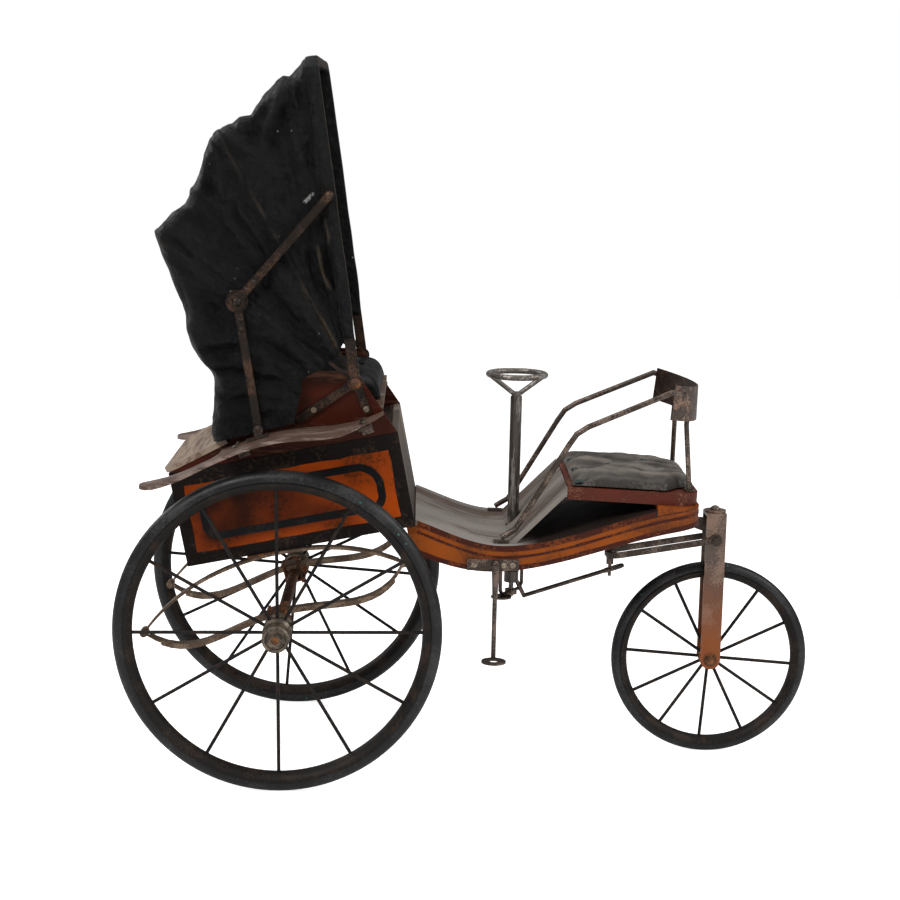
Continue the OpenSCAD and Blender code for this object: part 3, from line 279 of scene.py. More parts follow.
def scattered(tree: Tree, place: Socket, per_metre: float, size: float, cloud: float) -> Socket:
    """Small round specks, in clouds: cell centres nearer than a size, where a slow noise is high.

    Args:
        tree: the material's node tree.
        place: the Object coordinates.
        per_metre: cells to a metre.
        size: a speck's radius as a share of its cell.
        cloud: the slow noise's waves to a metre.

    Returns:
        A socket that is 1 in a speck and 0 outside.
    """
    dots = add(tree, "ShaderNodeTexVoronoi", {"Vector": place, "Scale": per_metre}).outputs["Distance"]
    where = add(tree, "ShaderNodeTexNoise", {"Vector": place, "Scale": cloud}).outputs["Fac"]
    near, some = [
        add(tree, "ShaderNodeMapRange", {0: value, 1: start, 2: end}).outputs[0]
        for value, start, end in ((dots, size, size * 0.6), (where, 0.55, 0.62))
    ]
    return add(tree, "ShaderNodeMath", {0: near, 1: some}, operation="MULTIPLY").outputs[0]


def new_material(name: str) -> tuple[bpy.types.Material, Tree, bpy.types.Node]:
    """Starts a material.

    Args:
        name: the finish's name.

    Returns:
        The material, its node tree and its main shader.
    """
    material = bpy.data.materials.new(name)
    material.use_nodes = True
    return material, material.node_tree, material.node_tree.nodes["Principled BSDF"]


class Grain(Enum):
    """How a finish's pattern is stretched: by the share of its length along X, Y and Z."""

    EVEN = (1.0, 1.0, 1.0)
    ALONG_X = (0.12, 1.0, 1.0)
    ALONG_Y = (1.0, 0.1, 1.0)
    ALONG_Z = (1.0, 1.0, 0.12)
    UP_THE_SIDE = (0.14, 1.0, 0.14)


@dataclass(frozen=True)
class Finish:
    """A worn surface: a base colour, a second shade in patches, and wear that shows what lies under it.

    Sizes in mm are the real ones of the patches, the worn spots and the relief. Low tints below a height,
    ahead tints beyond a place, inside tints faces that look back, and specks are flecks of old paint. The
    attribute tint is laid on by the piece's own attribute: a painted highlight on the cushions' raised
    folds, and a darker middle and rear on the box's orange field.
    """

    name: str
    base: str
    shade: str
    worn: str
    wear: float = 0.35
    patch_mm: float = 45.0
    wear_mm: float = 6.0
    roughness: float = 0.6
    metallic: float = 0.0
    grain: Grain = Grain.EVEN
    bump: float = 0.15
    bump_mm: float = 1.5
    gloss: float = 0.25
    specks: str = ""
    stain: str = ""
    low: tuple[str, float, float] | None = None
    ahead: tuple[str, float, float] | None = None
    inside: str = ""

    def build(self) -> bpy.types.Material:
        """Builds the material from noise at the finish's real scales.

        Returns:
            The material.
        """
        material, tree, shader = new_material(self.name)
        place = add(tree, "ShaderNodeTexCoord").outputs["Object"]
        stretch = add(tree, "ShaderNodeMapping", {"Vector": place, "Scale": self.grain.value}).outputs[0]
        patches, rubbed, relief = [
            add(tree, "ShaderNodeTexNoise", {"Vector": stretch, **grain}).outputs["Fac"]
            for grain in (
                {"Scale": 1000 / self.patch_mm, "Detail": 4.0},
                {"Scale": 1000 / self.wear_mm, "Detail": 6.0, "Roughness": 0.65},
                {"Scale": 1000 / self.bump_mm, "Detail": 3.0},
            )
        ]
        both = add(tree, "ShaderNodeMath", {0: rubbed, 1: patches}, operation="ADD").outputs[0]
        edge = 1.22 - 0.42 * self.wear
        laid = [Coat(patches, self.shade, 0.38, 0.64), Coat(both, self.worn, edge - 0.1, edge + 0.06)]
        # The attribute tint: a painted highlight on the cushions' raised folds, and the orange field's darker
        # middle and rear
        if self.stain:
            where = add(tree, "ShaderNodeAttribute", attribute_name="stain").outputs["Fac"]
            uneven = add(tree, "ShaderNodeMapRange", {0: patches, 1: 0.3, 2: 0.7, 3: 0.7, 4: 1.15}).outputs[0]
            share = add(tree, "ShaderNodeMath", {0: where, 1: uneven}, operation="MULTIPLY").outputs[0]
            laid.append(Coat(share, self.stain))
        ahead, _, up = add(tree, "ShaderNodeSeparateXYZ", {0: place}).outputs
        if self.low:
            tint, bottom, top = self.low
            wander = {0: patches, 1: RAGGED, 2: up}
            height = add(tree, "ShaderNodeMath", wander, operation="MULTIPLY_ADD").outputs[0]
            laid.append(Coat(height, tint, top + RAGGED / 2, bottom + RAGGED / 2))
        if self.ahead:
            tint, start, end = self.ahead
            laid.append(Coat(ahead, tint, start, end))
        if self.inside:
            normal = add(tree, "ShaderNodeNewGeometry").outputs["True Normal"]
            facing = add(tree, "ShaderNodeSeparateXYZ", {0: normal}).outputs[0]
            laid.append(Coat(facing, self.inside, -0.1, -0.3, 0.85))
        if self.specks:
            laid.append(Coat(scattered(tree, place, 60.0, 0.15, 9.0), self.specks))
        tree.links.new(coats(tree, self.base, laid), shader.inputs["Base Color"])
        shader.inputs["Metallic"].default_value = self.metallic
        shader.inputs["Specular IOR Level"].default_value = self.gloss
        low, high = max(self.roughness - 0.12, 0.05), min(self.roughness + 0.12, 1.0)
        gleam = add(tree, "ShaderNodeMapRange", {0: rubbed, 1: 0.3, 2: 0.7, 3: low, 4: high}).outputs[0]
        tree.links.new(gleam, shader.inputs["Roughness"])
        bump = add(tree, "ShaderNodeBump", {"Height": relief, "Strength": self.bump, "Distance": 0.0006})
        tree.links.new(bump.outputs[0], shader.inputs["Normal"])
        return material


@dataclass(frozen=True)
class HoodLeather:
    """Painted leathercloth: matt black, rubbed brown over bows and folds, and painted brown as highlight
    where it stands out; grazed pale, dusty in specks.

    The weave is drawn at about 1 mm, which is as fine as shows, and the pucker at about 16 mm.
    """

    name: str
    base: str
    shade: str
    # The rubbed brown, laid also as a painted highlight where the cloth stands out
    rubbed: str
    dust: str
    roughness: float = 0.35
    gloss: float = 0.2

    def build(self) -> bpy.types.Material:
        """Builds the cloth; point values ridge and scuff say where it is rubbed and where grazed, and each
        also carries a painted highlight.

        Returns:
            The material.
        """
        material, tree, shader = new_material(self.name)
        place = add(tree, "ShaderNodeTexCoord").outputs["Object"]
        cloud, fine, weave, pucker = [
            add(tree, "ShaderNodeTexNoise", {"Vector": place, **grain}).outputs["Fac"]
            for grain in (
                {"Scale": 22.0, "Detail": 6.0}, {"Scale": 150.0, "Detail": 6.0, "Roughness": 0.75},
                {"Scale": 900.0, "Detail": 2.0}, {"Scale": 60.0, "Detail": 6.0},
            )
        ]
        ridge, scuff = [
            add(tree, "ShaderNodeAttribute", attribute_name=where).outputs["Fac"]
            for where in ("ridge", "scuff")
        ]
        worn, pale = [
            add(tree, "ShaderNodeMath", {0: where, 1: fine}, operation="MULTIPLY").outputs[0]
            for where in (ridge, scuff)
        ]
        # Rubbed brown and painted highlight by the ridge value; graze and painted highlight pale by the scuff
        # value
        colour = coats(tree, self.base, [
            Coat(cloud, self.shade, 0.35, 0.68), Coat(worn, self.rubbed, 0.22, 0.6, 0.75),
            Coat(pale, self.dust, 0.34, 0.52), Coat(scattered(tree, place, 55.0, 0.085, 11.0), self.dust),
        ])
        tree.links.new(colour, shader.inputs["Base Color"])
        shader.inputs["Roughness"].default_value = self.roughness
        shader.inputs["Specular IOR Level"].default_value = self.gloss
        high = add(tree, "ShaderNodeMath", {0: pucker, 1: 5.0, 2: weave}, operation="MULTIPLY_ADD").outputs[0]
        bump = add(tree, "ShaderNodeBump", {"Height": high, "Strength": 0.9, "Distance": 0.003})
        tree.links.new(bump.outputs[0], shader.inputs["Normal"])
        return material


# Leathercloth, brushed with black and cracked: nearly lightless, with a soft shine and a painted brown
# highlight where it is drawn tight
HOOD_CLOTH = HoodLeather("hood_leathercloth_black", "#050505", "#0b0b0b", "#3c3125", "#a5a5a2")

# Oil paint over softwood, brushed on by hand. Burnt orange: satin, laid darker in its middle and towards the
# rear
ORANGE = Finish(
    "oil_paint_orange", "#a94405", "#8c3704", "#5c2a08", wear=0.14, patch_mm=70, roughness=0.5, bump=0.1,
    gloss=0.12, stain="#2a0d02",
)
# Black border: dull, rubbed through to brown
BLACK_PAINT = Finish(
    "oil_paint_black", "#19120f", "#0f0b0a", "#33261e", wear=0.22, patch_mm=40, roughness=0.55, bump=0.1,
    bump_mm=2.5, gloss=0.12,
)
# Black lining: one full brush stroke, a little bluer than the border
LINING = Finish(
    "oil_paint_lining_black", "#0e0d0f", "#161516", "#2c2622", wear=0.15, roughness=0.5, gloss=0.15,
)
# Sills: yellower orange, grimed
SILL_PAINT = Finish(
    "oil_paint_yellow_orange", "#914508", "#78390a", "#5f3010", wear=0.2, patch_mm=80, wear_mm=4,
    roughness=0.48, bump=0.1, gloss=0.2,
)
# Lines on the sills: dark red, thin enough to let the orange through
DARK_RED_LINE = Finish(
    "oil_paint_dark_red", "#42160a", "#2e1008", "#6b3210", wear=0.28, patch_mm=50, wear_mm=4, roughness=0.5,
    bump=0.08, gloss=0.2,
)
# Front seat board: brick red, chipped pale along its edge
BRICK_RED = Finish(
    "oil_paint_brick_red", "#582213", "#40180c", "#8c5c46", wear=0.16, patch_mm=60, wear_mm=3,
    roughness=0.5, gloss=0.25,
)
# Arm panels: a dark red varnish, which the grain shows through
ARM_RED = Finish(
    "varnished_wood_dark_red", "#451708", "#220c05", "#5c3b2a", wear=0.2, patch_mm=60, roughness=0.45,
    grain=Grain.ALONG_X, gloss=0.15,
)
# Pine that has lost its paint: grey and silky with open grain, darker where it meets the floor
GREY_WOOD = Finish(
    "weathered_pine_grey", "#665b51", "#483e36", "#8d8275", wear=0.3, patch_mm=60, wear_mm=7,
    roughness=0.62, grain=Grain.UP_THE_SIDE, bump=0.3, bump_mm=3, low=("#38322d", 0.39, 0.54),
)
# The same pine, paled by feet, and laid dark under the front seat as a painted shadow
FLOOR_WOOD = Finish(
    "weathered_pine_floor", "#8d8680", "#756d67", "#5a4a40", wear=0.2, patch_mm=70, wear_mm=7,
    roughness=0.62, grain=Grain.UP_THE_SIDE, bump=0.3, bump_mm=3,
    ahead=("#241a14", SHADE_START, SHADE_START + SHADE_RUN),
)
# The same pine on the riser, kicked and dull
RISER_WOOD = Finish(
    "weathered_pine_riser", "#857d76", "#6a625c", "#5a4a40", wear=0.22, patch_mm=70, wear_mm=7,
    roughness=0.62, grain=Grain.UP_THE_SIDE, bump=0.3, bump_mm=3,
)
# Bent ash, handled until it is brown and half polished
WING_WOOD = Finish(
    "worn_ash_brown", "#5a463b", "#43322a", "#85736a", wear=0.32, patch_mm=60, wear_mm=6,
    roughness=0.55, grain=Grain.ALONG_X, bump=0.25, bump_mm=3,
)
# Ash bleached by weather: paler and drier
DECK_WOOD = Finish(
    "worn_ash_pale", "#806b5d", "#5f493e", "#9a8776", wear=0.45, patch_mm=60, wear_mm=8,
    roughness=0.55, grain=Grain.ALONG_Y, bump=0.25, bump_mm=3,
)
# Softwood out of the light, laid nearly black as painted shade, brown at the rubs
DARK_WOOD = Finish(
    "wood_dark_painted_shade", "#241712", "#170e0b", "#4c382c", wear=0.35, patch_mm=50, roughness=0.5,
    grain=Grain.ALONG_Y,
)
# Wrought iron that was black once: brown rust with burnished high spots
IRON = Finish(
    "wrought_iron_brown", "#453a32", "#2f2a27", "#77655a", wear=0.34, patch_mm=26, wear_mm=3,
    roughness=0.4, metallic=0.5, bump=0.3, bump_mm=1.6, gloss=0.4,
)
# Wrought iron that kept its black: darker, rust only in spots
DARK_IRON = Finish(
    "wrought_iron_dark", "#241b15", "#191410", "#4f382a", wear=0.32, patch_mm=30, wear_mm=2.5,
    roughness=0.42, metallic=0.4, bump=0.3, bump_mm=1.6, gloss=0.4,
)
# Rusted iron: matt, orange-brown in its pits
RUST = Finish(
    "rusted_iron", "#4f3629", "#382a23", "#87542f", wear=0.36, patch_mm=18, wear_mm=2.5,
    roughness=0.6, metallic=0.25, bump=0.35, bump_mm=1.5,
)
# Forged iron strap: grey-brown above, rusted orange towards the wheel's axle
FORK_IRON = Finish(
    "forged_iron_grey_brown", "#655850", "#4a423d", "#8f7667", wear=0.34, patch_mm=34, wear_mm=2.5,
    roughness=0.42, metallic=0.4, bump=0.25, bump_mm=2, gloss=0.4, low=("#8a4c26", 0.19, 0.33),
)
# Rolled spring steel: an even brown skin with a dull gleam
SPRING_STEEL = Finish(
    "spring_steel_brown", "#5f4d3f", "#4a3c32", "#8c7763", wear=0.42, patch_mm=30, wear_mm=3,
    roughness=0.45, metallic=0.45, bump=0.25,
)
# Sheet steel: scuffed bright where backs rub it, brown-black behind
BARE_STEEL = Finish(
    "sheet_steel_scuffed", "#584d46", "#453b35", "#a08270", wear=0.3, patch_mm=16, wear_mm=3,
    roughness=0.4, metallic=0.45, bump=0.2, bump_mm=2, gloss=0.4, inside="#22140d",
)
# Turned steel tube: streaked along its length, still smooth
COLUMN_STEEL = Finish(
    "turned_steel_mottled", "#544e48", "#37322d", "#918b85", wear=0.28, patch_mm=14, wear_mm=2.5,
    roughness=0.35, metallic=0.5, bump=0.25, bump_mm=1.2, gloss=0.4, grain=Grain.ALONG_Z,
)
# Round steel bar polished by hands and painted paler still as its reflection: the lightest metal here
RING_STEEL = Finish(
    "steel_polished_painted_sheen", "#6f6862", "#514b46", "#9c968f", wear=0.3, patch_mm=30, wear_mm=5,
    roughness=0.36, metallic=0.5, bump=0.12, bump_mm=1.2, gloss=0.4,
)
# Turned brass screws gone dull: a warm grey
BRASS = Finish(
    "screw_brass_dull", "#8c7c69", "#6d5f4f", "#b4a591", wear=0.4, roughness=0.35, metallic=0.8, bump=0.1,
)
# Solid rubber, grey with age, with green flecks of old paint
TYRE = Finish(
    "solid_rubber_aged", "#141414", "#1b1b1b", "#303030", wear=0.28, patch_mm=60, wear_mm=4,
    roughness=0.46, bump=0.12, bump_mm=2.5, gloss=0.34, specks="#2f6660",
)
# Rolled channel rims and their spokes: black paint over rust
RIM = Finish(
    "channel_rim_brown_black", "#1d1a19", "#151313", "#30261f", wear=0.34, patch_mm=30, wear_mm=3,
    roughness=0.55, metallic=0.2, bump=0.25, gloss=0.2,
)
# Turned iron hubs: greasy grey-brown
HUB = Finish(
    "turned_hub_iron", "#4d463e", "#37322c", "#7c6f60", wear=0.45, patch_mm=14, wear_mm=2.5,
    roughness=0.42, metallic=0.45, bump=0.3,
)
# Leathercloth on horsehair: grey-black with a soft shine, rubbed grey on its crown, with a painted highlight
# on its raised folds and painted shade in its creases
CUSHION = Finish(
    "leathercloth_grey_warm", "#332f2a", "#25211e", "#4c4640", wear=0.24, patch_mm=40, wear_mm=4,
    roughness=0.46, bump=0.2, bump_mm=2, gloss=0.4, stain="#746c64",
)
# The same cloth, laid near black as painted shade under the hood, with a faint painted highlight on its folds
REAR_CUSHION = Finish(
    "leathercloth_in_painted_shade", "#0c0c0d", "#080809", "#1d1b1a", wear=0.2, patch_mm=40, wear_mm=5,
    roughness=0.4, bump=0.2, bump_mm=2, gloss=0.12, stain="#111111",
)
# Covered buttons: black, greened at the rim
BUTTON = Finish(
    "button_black", "#1a1f20", "#131719", "#3a5254", wear=0.3, patch_mm=6, roughness=0.35, bump=0.05,
)

NODE_FINISH: dict[str, Finish] = {
    "box_sides": BLACK_PAINT, "box_front_wall": GREY_WOOD, "box_back": DARK_WOOD, "box_boards": DARK_WOOD,
    "arm_panels": ARM_RED, "seat_front_board": DARK_WOOD, "rear_seat_board": WING_WOOD, "seat_back": ARM_RED,
    "wing_right": WING_WOOD, "wing_left": WING_WOOD, "rear_deck": DECK_WOOD, "sill_boards": SILL_PAINT,
    "nose_block": SILL_PAINT, "floor_board": FLOOR_WOOD, "riser_board": RISER_WOOD,
    "front_seat_board": BRICK_RED, "wing_brackets": IRON, "iron_feet": IRON, "step_iron": IRON,
    "head_bracket": IRON, "column_stirrup": IRON, "hood_plates": DARK_IRON, "hood_pivots": RUST,
    "hand_rails": IRON, "backrest_posts": IRON, "backrest_plate": BARE_STEEL, "screws": BRASS,
    "steering_column": COLUMN_STEEL, "ring_handle": RING_STEEL, "crank_rod": IRON, "fork": FORK_IRON,
    "kingpin": FORK_IRON, "yoke": IRON, "front_axle": RUST, "front_hub": RUST, "right_hub": HUB,
    "left_hub": HUB, "rear_axle": RUST, "axle_nuts": HUB, "spring_upper_leaves": SPRING_STEEL,
    "spring_lower_leaves": SPRING_STEEL, "spring_bolts": SPRING_STEEL, "spring_clips": RUST,
    "front_rim": RIM, "right_rim": RIM, "left_rim": RIM, "front_tyre": TYRE, "right_tyre": TYRE,
    "left_tyre": TYRE, "rear_bow": DARK_IRON, "mid_bow": DARK_IRON, "front_bow": DARK_IRON,
    "lower_irons": DARK_IRON, "upper_irons": DARK_IRON,
}


class Paintshop:
    """Builds each finish once and lays it on pieces."""

    def __init__(self) -> None:
        """Starts with no material built."""
        self.made: dict[str, bpy.types.Material] = {}

    def lay(self, piece: Piece, finish: Finish | HoodLeather) -> None:
        """Gives a piece one finish in all its slots.

        Args:
            piece: the object to dress.
            finish: what it is made of.
        """
        if finish.name not in self.made:
            self.made[finish.name] = finish.build()
        piece.data.materials.clear()
        piece.data.materials.append(self.made[finish.name])

    def film(self, piece: Piece, finish: Finish, inside: Spot) -> None:
        """Makes a piece a film of paint on the body.

        Args:
            piece: the film.
            finish: its paint.
            inside: a point behind the film.
        """
        face_outwards(piece, inside)
        self.lay(piece, finish)
        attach(piece, "root")

    def dress_frame(self) -> None:
        """Lays each rigid node's finish on it."""
        for name, finish in NODE_FINISH.items():
            self.lay(frame["nodes"][name], finish)
            LOG.info("dressed %s with %s", name, finish.name)


# ---------------------------------------------------------------- where things are


def joint_place(name: str) -> Array:
    """The place of a joint's axis in the frame.

    Args:
        name: the joint's name.

    Returns:
        X, Y and Z.
    """
    for joint in frame["record"]["behaviour"]["joints"]:
        if joint["name"] == name:
            return np.array(joint["pos_m"], float)
    raise KeyError(name)


AXLE = joint_place("right_wheel_spin")
PIVOT = joint_place("hood_fold")


def lean_point(lean: Array, reach: Array) -> Array:
    """Points at a lean back from upright, in degrees, and a distance from the hood's pivot, as X and Z."""
    turn = np.radians(lean)
    return np.stack([PIVOT[0] - reach * np.sin(turn), PIVOT[2] + reach * np.cos(turn)], -1)


def axle_points(points: list[tuple[float, float]]) -> list[tuple[float, float]]:
    """Places given in millimetres ahead of the rear axle and over the ground, as X and Z in metres."""
    return [(AXLE[0] + x * MM, z * MM) for x, z in points]


# ---------------------------------------------------------------- the hood


class Field(Enum):
    """The hood's three fields of cloth, from the back."""

    REAR = "canopy_rear"
    MID = "canopy_mid"
    FRONT = "canopy_front"


@dataclass(frozen=True)
class Fold:
    """A ridge or a valley along a line seen from the side, in millimetres ahead of the rear axle and up."""

    line: tuple[tuple[float, float], ...]
    width: float
    height: float
    rub: float = 0.0

    def rise(self, x: Array, z: Array) -> Array:
        """A bell curve of the distance from the line, which fades out towards both of its ends.

        Args:
            x: places ahead of the rear axle, in millimetres.
            z: heights in millimetres.

        Returns:
            The share of the fold's height at each place.
        """
        line = np.array(self.line, float)
        steps = np.linalg.norm(np.diff(line, axis=0), axis=1)
        before = np.concatenate([[0.0], np.cumsum(steps)])
        near = np.full(x.shape, 1e9)
        share = np.zeros(x.shape)
        for k, step in enumerate(steps):
            way = (line[k + 1] - line[k]) / step
            run = np.clip((x - line[k, 0]) * way[0] + (z - line[k, 1]) * way[1], 0, step)
            far = np.hypot(x - line[k, 0] - way[0] * run, z - line[k, 1] - way[1] * run)
            closer = far < near
            near = np.where(closer, far, near)
            share = np.where(closer, (before[k] + run) / before[-1], share)
        ends = smooth(np.minimum(share, 1 - share) / 0.3 + 0.12)
        return np.exp(-((near / self.width) ** 2)) * ends


# Where the cloth has set into folds over the years; a positive height stands out and a negative one sinks in
FOLDS: dict[Field, tuple[Fold, ...]] = {
    Field.FRONT: (
        Fold(((-8, 1094), (-8, 1056), (-24, 1022), (-35, 999), (-43, 989)), 8, 4.5),
        Fold(((-41, 990), (-60, 985), (-78, 995)), 5, 2.5),
        Fold(((-26, 1066), (-46, 1030), (-60, 998)), 13, -7.0),
        Fold(((9, 1060), (-4, 1015), (-20, 982)), 10, -4.0),
        Fold(((17, 1093), (14, 1069), (23, 1040)), 4, 2.2),
        Fold(((25, 1092), (23, 1066), (32, 1036)), 4, -2.4),
        Fold(((4, 1090), (2, 1062), (9, 1030), (14, 1004)), 4, 2.0),
        Fold(((42, 1018), (46, 992), (51, 965), (57, 930)), 5, 2.4, 0.3),
        Fold(((36, 1005), (38, 975), (46, 948)), 5, -2.6),
        Fold(((20, 1000), (28, 960), (30, 930)), 7, 1.4),
        Fold(((61, 893), (69, 858), (66, 836)), 4.5, 3.4, 0.5),
        Fold(((46, 860), (63, 806), (84, 762)), 5.5, 4.4, 0.6),
        Fold(((36, 848), (50, 796), (70, 752)), 7, -4.0),
        Fold(((60, 850), (70, 812), (86, 772)), 5, -3.5),
        Fold(((-3, 940), (-1, 902)), 7, -2.2),
        Fold(((12, 905), (28, 850), (50, 800)), 8, 1.6),
    ),
    Field.MID: (
        Fold(((-115, 982), (-113, 945), (-112, 912)), 10, -7.0),
        Fold(((-103, 962), (-96, 925), (-82, 896)), 9, 2.2),
        Fold(((-84, 915), (-65, 883), (-25, 821)), 5, -2.6),
        Fold(((-76, 916), (-57, 887), (-18, 828)), 4, 1.8),
        Fold(((-150, 903), (-128, 878), (-104, 846)), 9, -3.0),
        Fold(((-140, 880), (-110, 835), (-60, 780)), 12, 1.8),
        Fold(((-172, 862), (-140, 818), (-90, 768)), 7, -2.0),
        Fold(((-40, 815), (-10, 770), (30, 715)), 7, -2.4),
        Fold(((-62, 812), (-30, 762), (15, 705)), 8, 1.6),
    ),
    Field.REAR: (
        Fold(((-140, 679), (-97, 680), (-55, 686)), 6, -3.4),
        Fold(((-136, 690), (-97, 691), (-60, 698)), 7, 1.6),
        Fold(((-116, 645), (-76, 651), (-32, 638), (8, 637)), 6, -3.4),
        Fold(((-110, 656), (-76, 662), (-34, 650), (0, 648)), 7, 1.6),
        Fold(((-39, 699), (-1, 677), (36, 657)), 6, -3.0),
        Fold(((-109, 612), (-69, 608), (-30, 612)), 7, -3.0),
        Fold(((-106, 580), (-60, 574), (-10, 582)), 9, -2.2),
        Fold(((-180, 815), (-160, 770), (-148, 735)), 8, -3.6),
        Fold(((-150, 790), (-130, 745), (-125, 705)), 9, 1.8),
        Fold(((-120, 775), (-100, 735), (-92, 705)), 9, -2.4),
    ),
}


@dataclass
class Hood:
    """The hood's cloth: each field is a family of hoops that run up one side, over and down the other."""

    half: float = 0.1866
    thickness: float = 0.0014
    corner: float = 0.030
    rows: int = 128
    side_cols: int = 96
    corner_cols: int = 9
    top_cols: int = 84
    front_lean: float = 8.6
    mid_lean: float = 30.0
    rear_lean: float = 54.0
    front_hem: float = 0.074
    mid_hem: float = 0.052
    rear_reach: float = 0.3818
    # How far the middle field stands out at its foot, clear of the front bow when folded
    foot_spread: float = 0.0021
    # How far the front field is drawn in beside its bow
    front_tuck: float = 0.0009
    # How deep the cloth hangs between bows, on the sides and on the roof
    slack: float = 0.0045
    roof_slack: float = 0.004
    # How high the pleats, the creases, the dimples and the roof's waves stand
    pleat: float = 0.0030
    crease: float = 0.0018
    dimple: float = 0.0012
    roof_wave: float = 0.0022
    # How much the set ridges and the set valleys are drawn deeper than their table says
    ridge_gain: float = 1.6
    valley_gain: float = 2.1

    def reach(self, field: Field, lean: Array) -> Array:
        """How far from the pivot the cloth crosses over the top.

        It lies on the bows and hangs slack between them: a short shelf behind the front bow, then a hollow,
        and one deep hollow between the middle bow and the rear bow.

        Args:
            field: the front or the middle field.
            lean: degrees back from upright.

        Returns:
            The distance at each lean.
        """
        places = {
            Field.FRONT: [
                (7.7, 496), (9.6, 496), (11.0, 486), (12.6, 479), (14.6, 479), (17, 468), (20, 452),
                (22.5, 441), (25.5, 435), (28.6, 433.8), (30, 433.8),
            ],
            Field.MID: [
                (30, 433.8), (31.4, 433.8), (32.6, 428), (34.5, 414), (37, 400), (40, 390), (43, 382),
                (46, 379), (49, 380), (52.6, 382), (54, 381.8),
            ],
        }[field]
        table = np.array(places)
        near = np.arange(-0.6, 0.7, 0.3)
        return sum(np.interp(lean + d, table[:, 0], table[:, 1]) for d in near) / len(near) * MM

    def edges(self, field: Field, t: Array) -> tuple[Array, Array]:
        """Where each hoop of a field starts and where it turns over the top.

        Args:
            field: which field of cloth.
            t: shares from the front edge of the field to its back edge.

        Returns:
            The hems and the corners, as X and Z.
        """
        if field is Field.REAR:
            hem = axle_points([(60, 655), (45, 650), (31, 640), (30, 622), (24, 596), (20, 572)])
            back = axle_points([
                (-192, 842), (-187, 829), (-177, 808), (-170, 781), (-160, 756), (-152, 736), (-155, 724),
                (-154, 710), (-146, 684), (-132, 663), (-115, 650), (-109, 628), (-108, 590), (-109, 538),
            ])
            first = lean_point(np.array([self.rear_lean]), np.array([self.mid_hem]))[0]
            top = lean_point(np.array([self.rear_lean]), np.array([self.rear_reach]))[0]
            return along([tuple(first), *hem], t), along([tuple(top), *back], t)
        lean, low = {
            Field.FRONT: ((self.front_lean - 0.9, self.mid_lean), (self.front_hem, self.mid_hem)),
            Field.MID: ((self.mid_lean, self.rear_lean), (self.mid_hem, self.mid_hem)),
        }[field]
        angle = lean[0] + (lean[1] - lean[0]) * t
        return lean_point(angle, low[0] + (low[1] - low[0]) * t), lean_point(angle, self.reach(field, angle))

    def folds(
        self, field: Field, t: Array, up: Array, across: Array, x: Array, z: Array
    ) -> tuple[Array, Array]:
        """How far the cloth stands in or out, in metres, and where it is rubbed.

        Slack between the bows is a sine. The set folds lie on the sides, and each side's are moved about by
        its own slow noise, so that the two sides differ. Pleats and fine creases are noise stretched along
        the hoop. All of it fades out at the bows.

        Args:
            field: which field of cloth.
            t: share across the field.
            up: share of the way from the hem to the corner, 1 over the top.
            across: share of the way over the top, from -1 to 1.
            x: places ahead of the rear axle, in millimetres.
            z: heights in millimetres.

        Returns:
            The displacement along the outward way, and the rubbed share.
        """
        seed = {Field.REAR: 3, Field.MID: 11, Field.FRONT: 23}[field]
        over = smooth((up - 0.9) / 0.1)
        front_end = 0.10 if field is Field.FRONT else 0.03
        back_end = 0.0 if field is Field.REAR else 1.0
        held = smooth(t / front_end) * (1 - back_end * (1 - smooth((1 - t) / 0.05)))
        sway = np.where(across > 0, 10.0, 4.0)
        wx = x + sway * soft_noise(x * 0.02 + 3, z * 0.02 + 5, seed + 4)
        wz = z + sway * soft_noise(x * 0.02 + 9, z * 0.02 + 1, seed + 5)
        fold, rub = np.zeros(x.shape), np.zeros(x.shape)
        for one in FOLDS[field]:
            share = one.rise(wx, wz)
            fold += share * one.height * (self.ridge_gain if one.height > 0 else self.valley_gain) * MM
            rub += share * one.rub
        pleats = soft_noise(t * 7 + 0.6 * up, up * 1.8 + across * 1.2 + 7, seed) * self.pleat
        creases = soft_noise(t * 17 + 3 * up, up * 6.0 + across * 4 + 3, seed + 1) * self.crease
        dimples = soft_noise(x * 0.075, z * 0.05 + across * 3, seed + 2) * self.dimple
        dimples = dimples + soft_noise(x * 0.19 + z * 0.05, z * 0.12 + across * 5, seed + 6) * self.dimple / 2
        between = np.sin(math.pi * t)
        waves = soft_noise(t * 5 + 2, across * 3.2 + 9, seed + 3) * self.roof_wave
        roof = over * (waves - self.roof_slack * (1 - across**2)) * between
        small = pleats + creases + dimples
        return held * (fold * (1 - over) - self.slack * between + small + roof), rub

    def seams(self, field: Field, t: Array, run: Array) -> tuple[Array, Array]:
        """The sewn pockets that hold the bows: a low welt over each bow with a groove beside it.

        Args:
            field: which field of cloth.
            t: share across the field.
            run: distance from the hem.

        Returns:
            The welt's height, and the rubbed share.
        """
        wide = {Field.REAR: 0.30, Field.MID: 0.42, Field.FRONT: 0.38}[field]
        arm = run + 0.06
        first, last = t * wide * arm, (1 - t) * wide * arm
        grooves = -0.0011 * np.exp(-(((first - 0.0085) / 0.0022) ** 2)) * (field is not Field.FRONT)
        grooves = grooves - 0.0011 * np.exp(-(((last - 0.0075) / 0.0022) ** 2)) * (field is not Field.REAR)
        crest = np.exp(-(((last - 0.0035) / 0.004) ** 2)) * (field is Field.FRONT)
        crest = crest + 0.5 * np.exp(-((first / 0.004) ** 2)) * (field is not Field.FRONT)
        patchy = np.clip(0.6 + 0.8 * soft_noise(run * 45, run * 0 + first * 9, 44), 0, 1)
        return grooves + 0.0008 * crest, crest * patchy

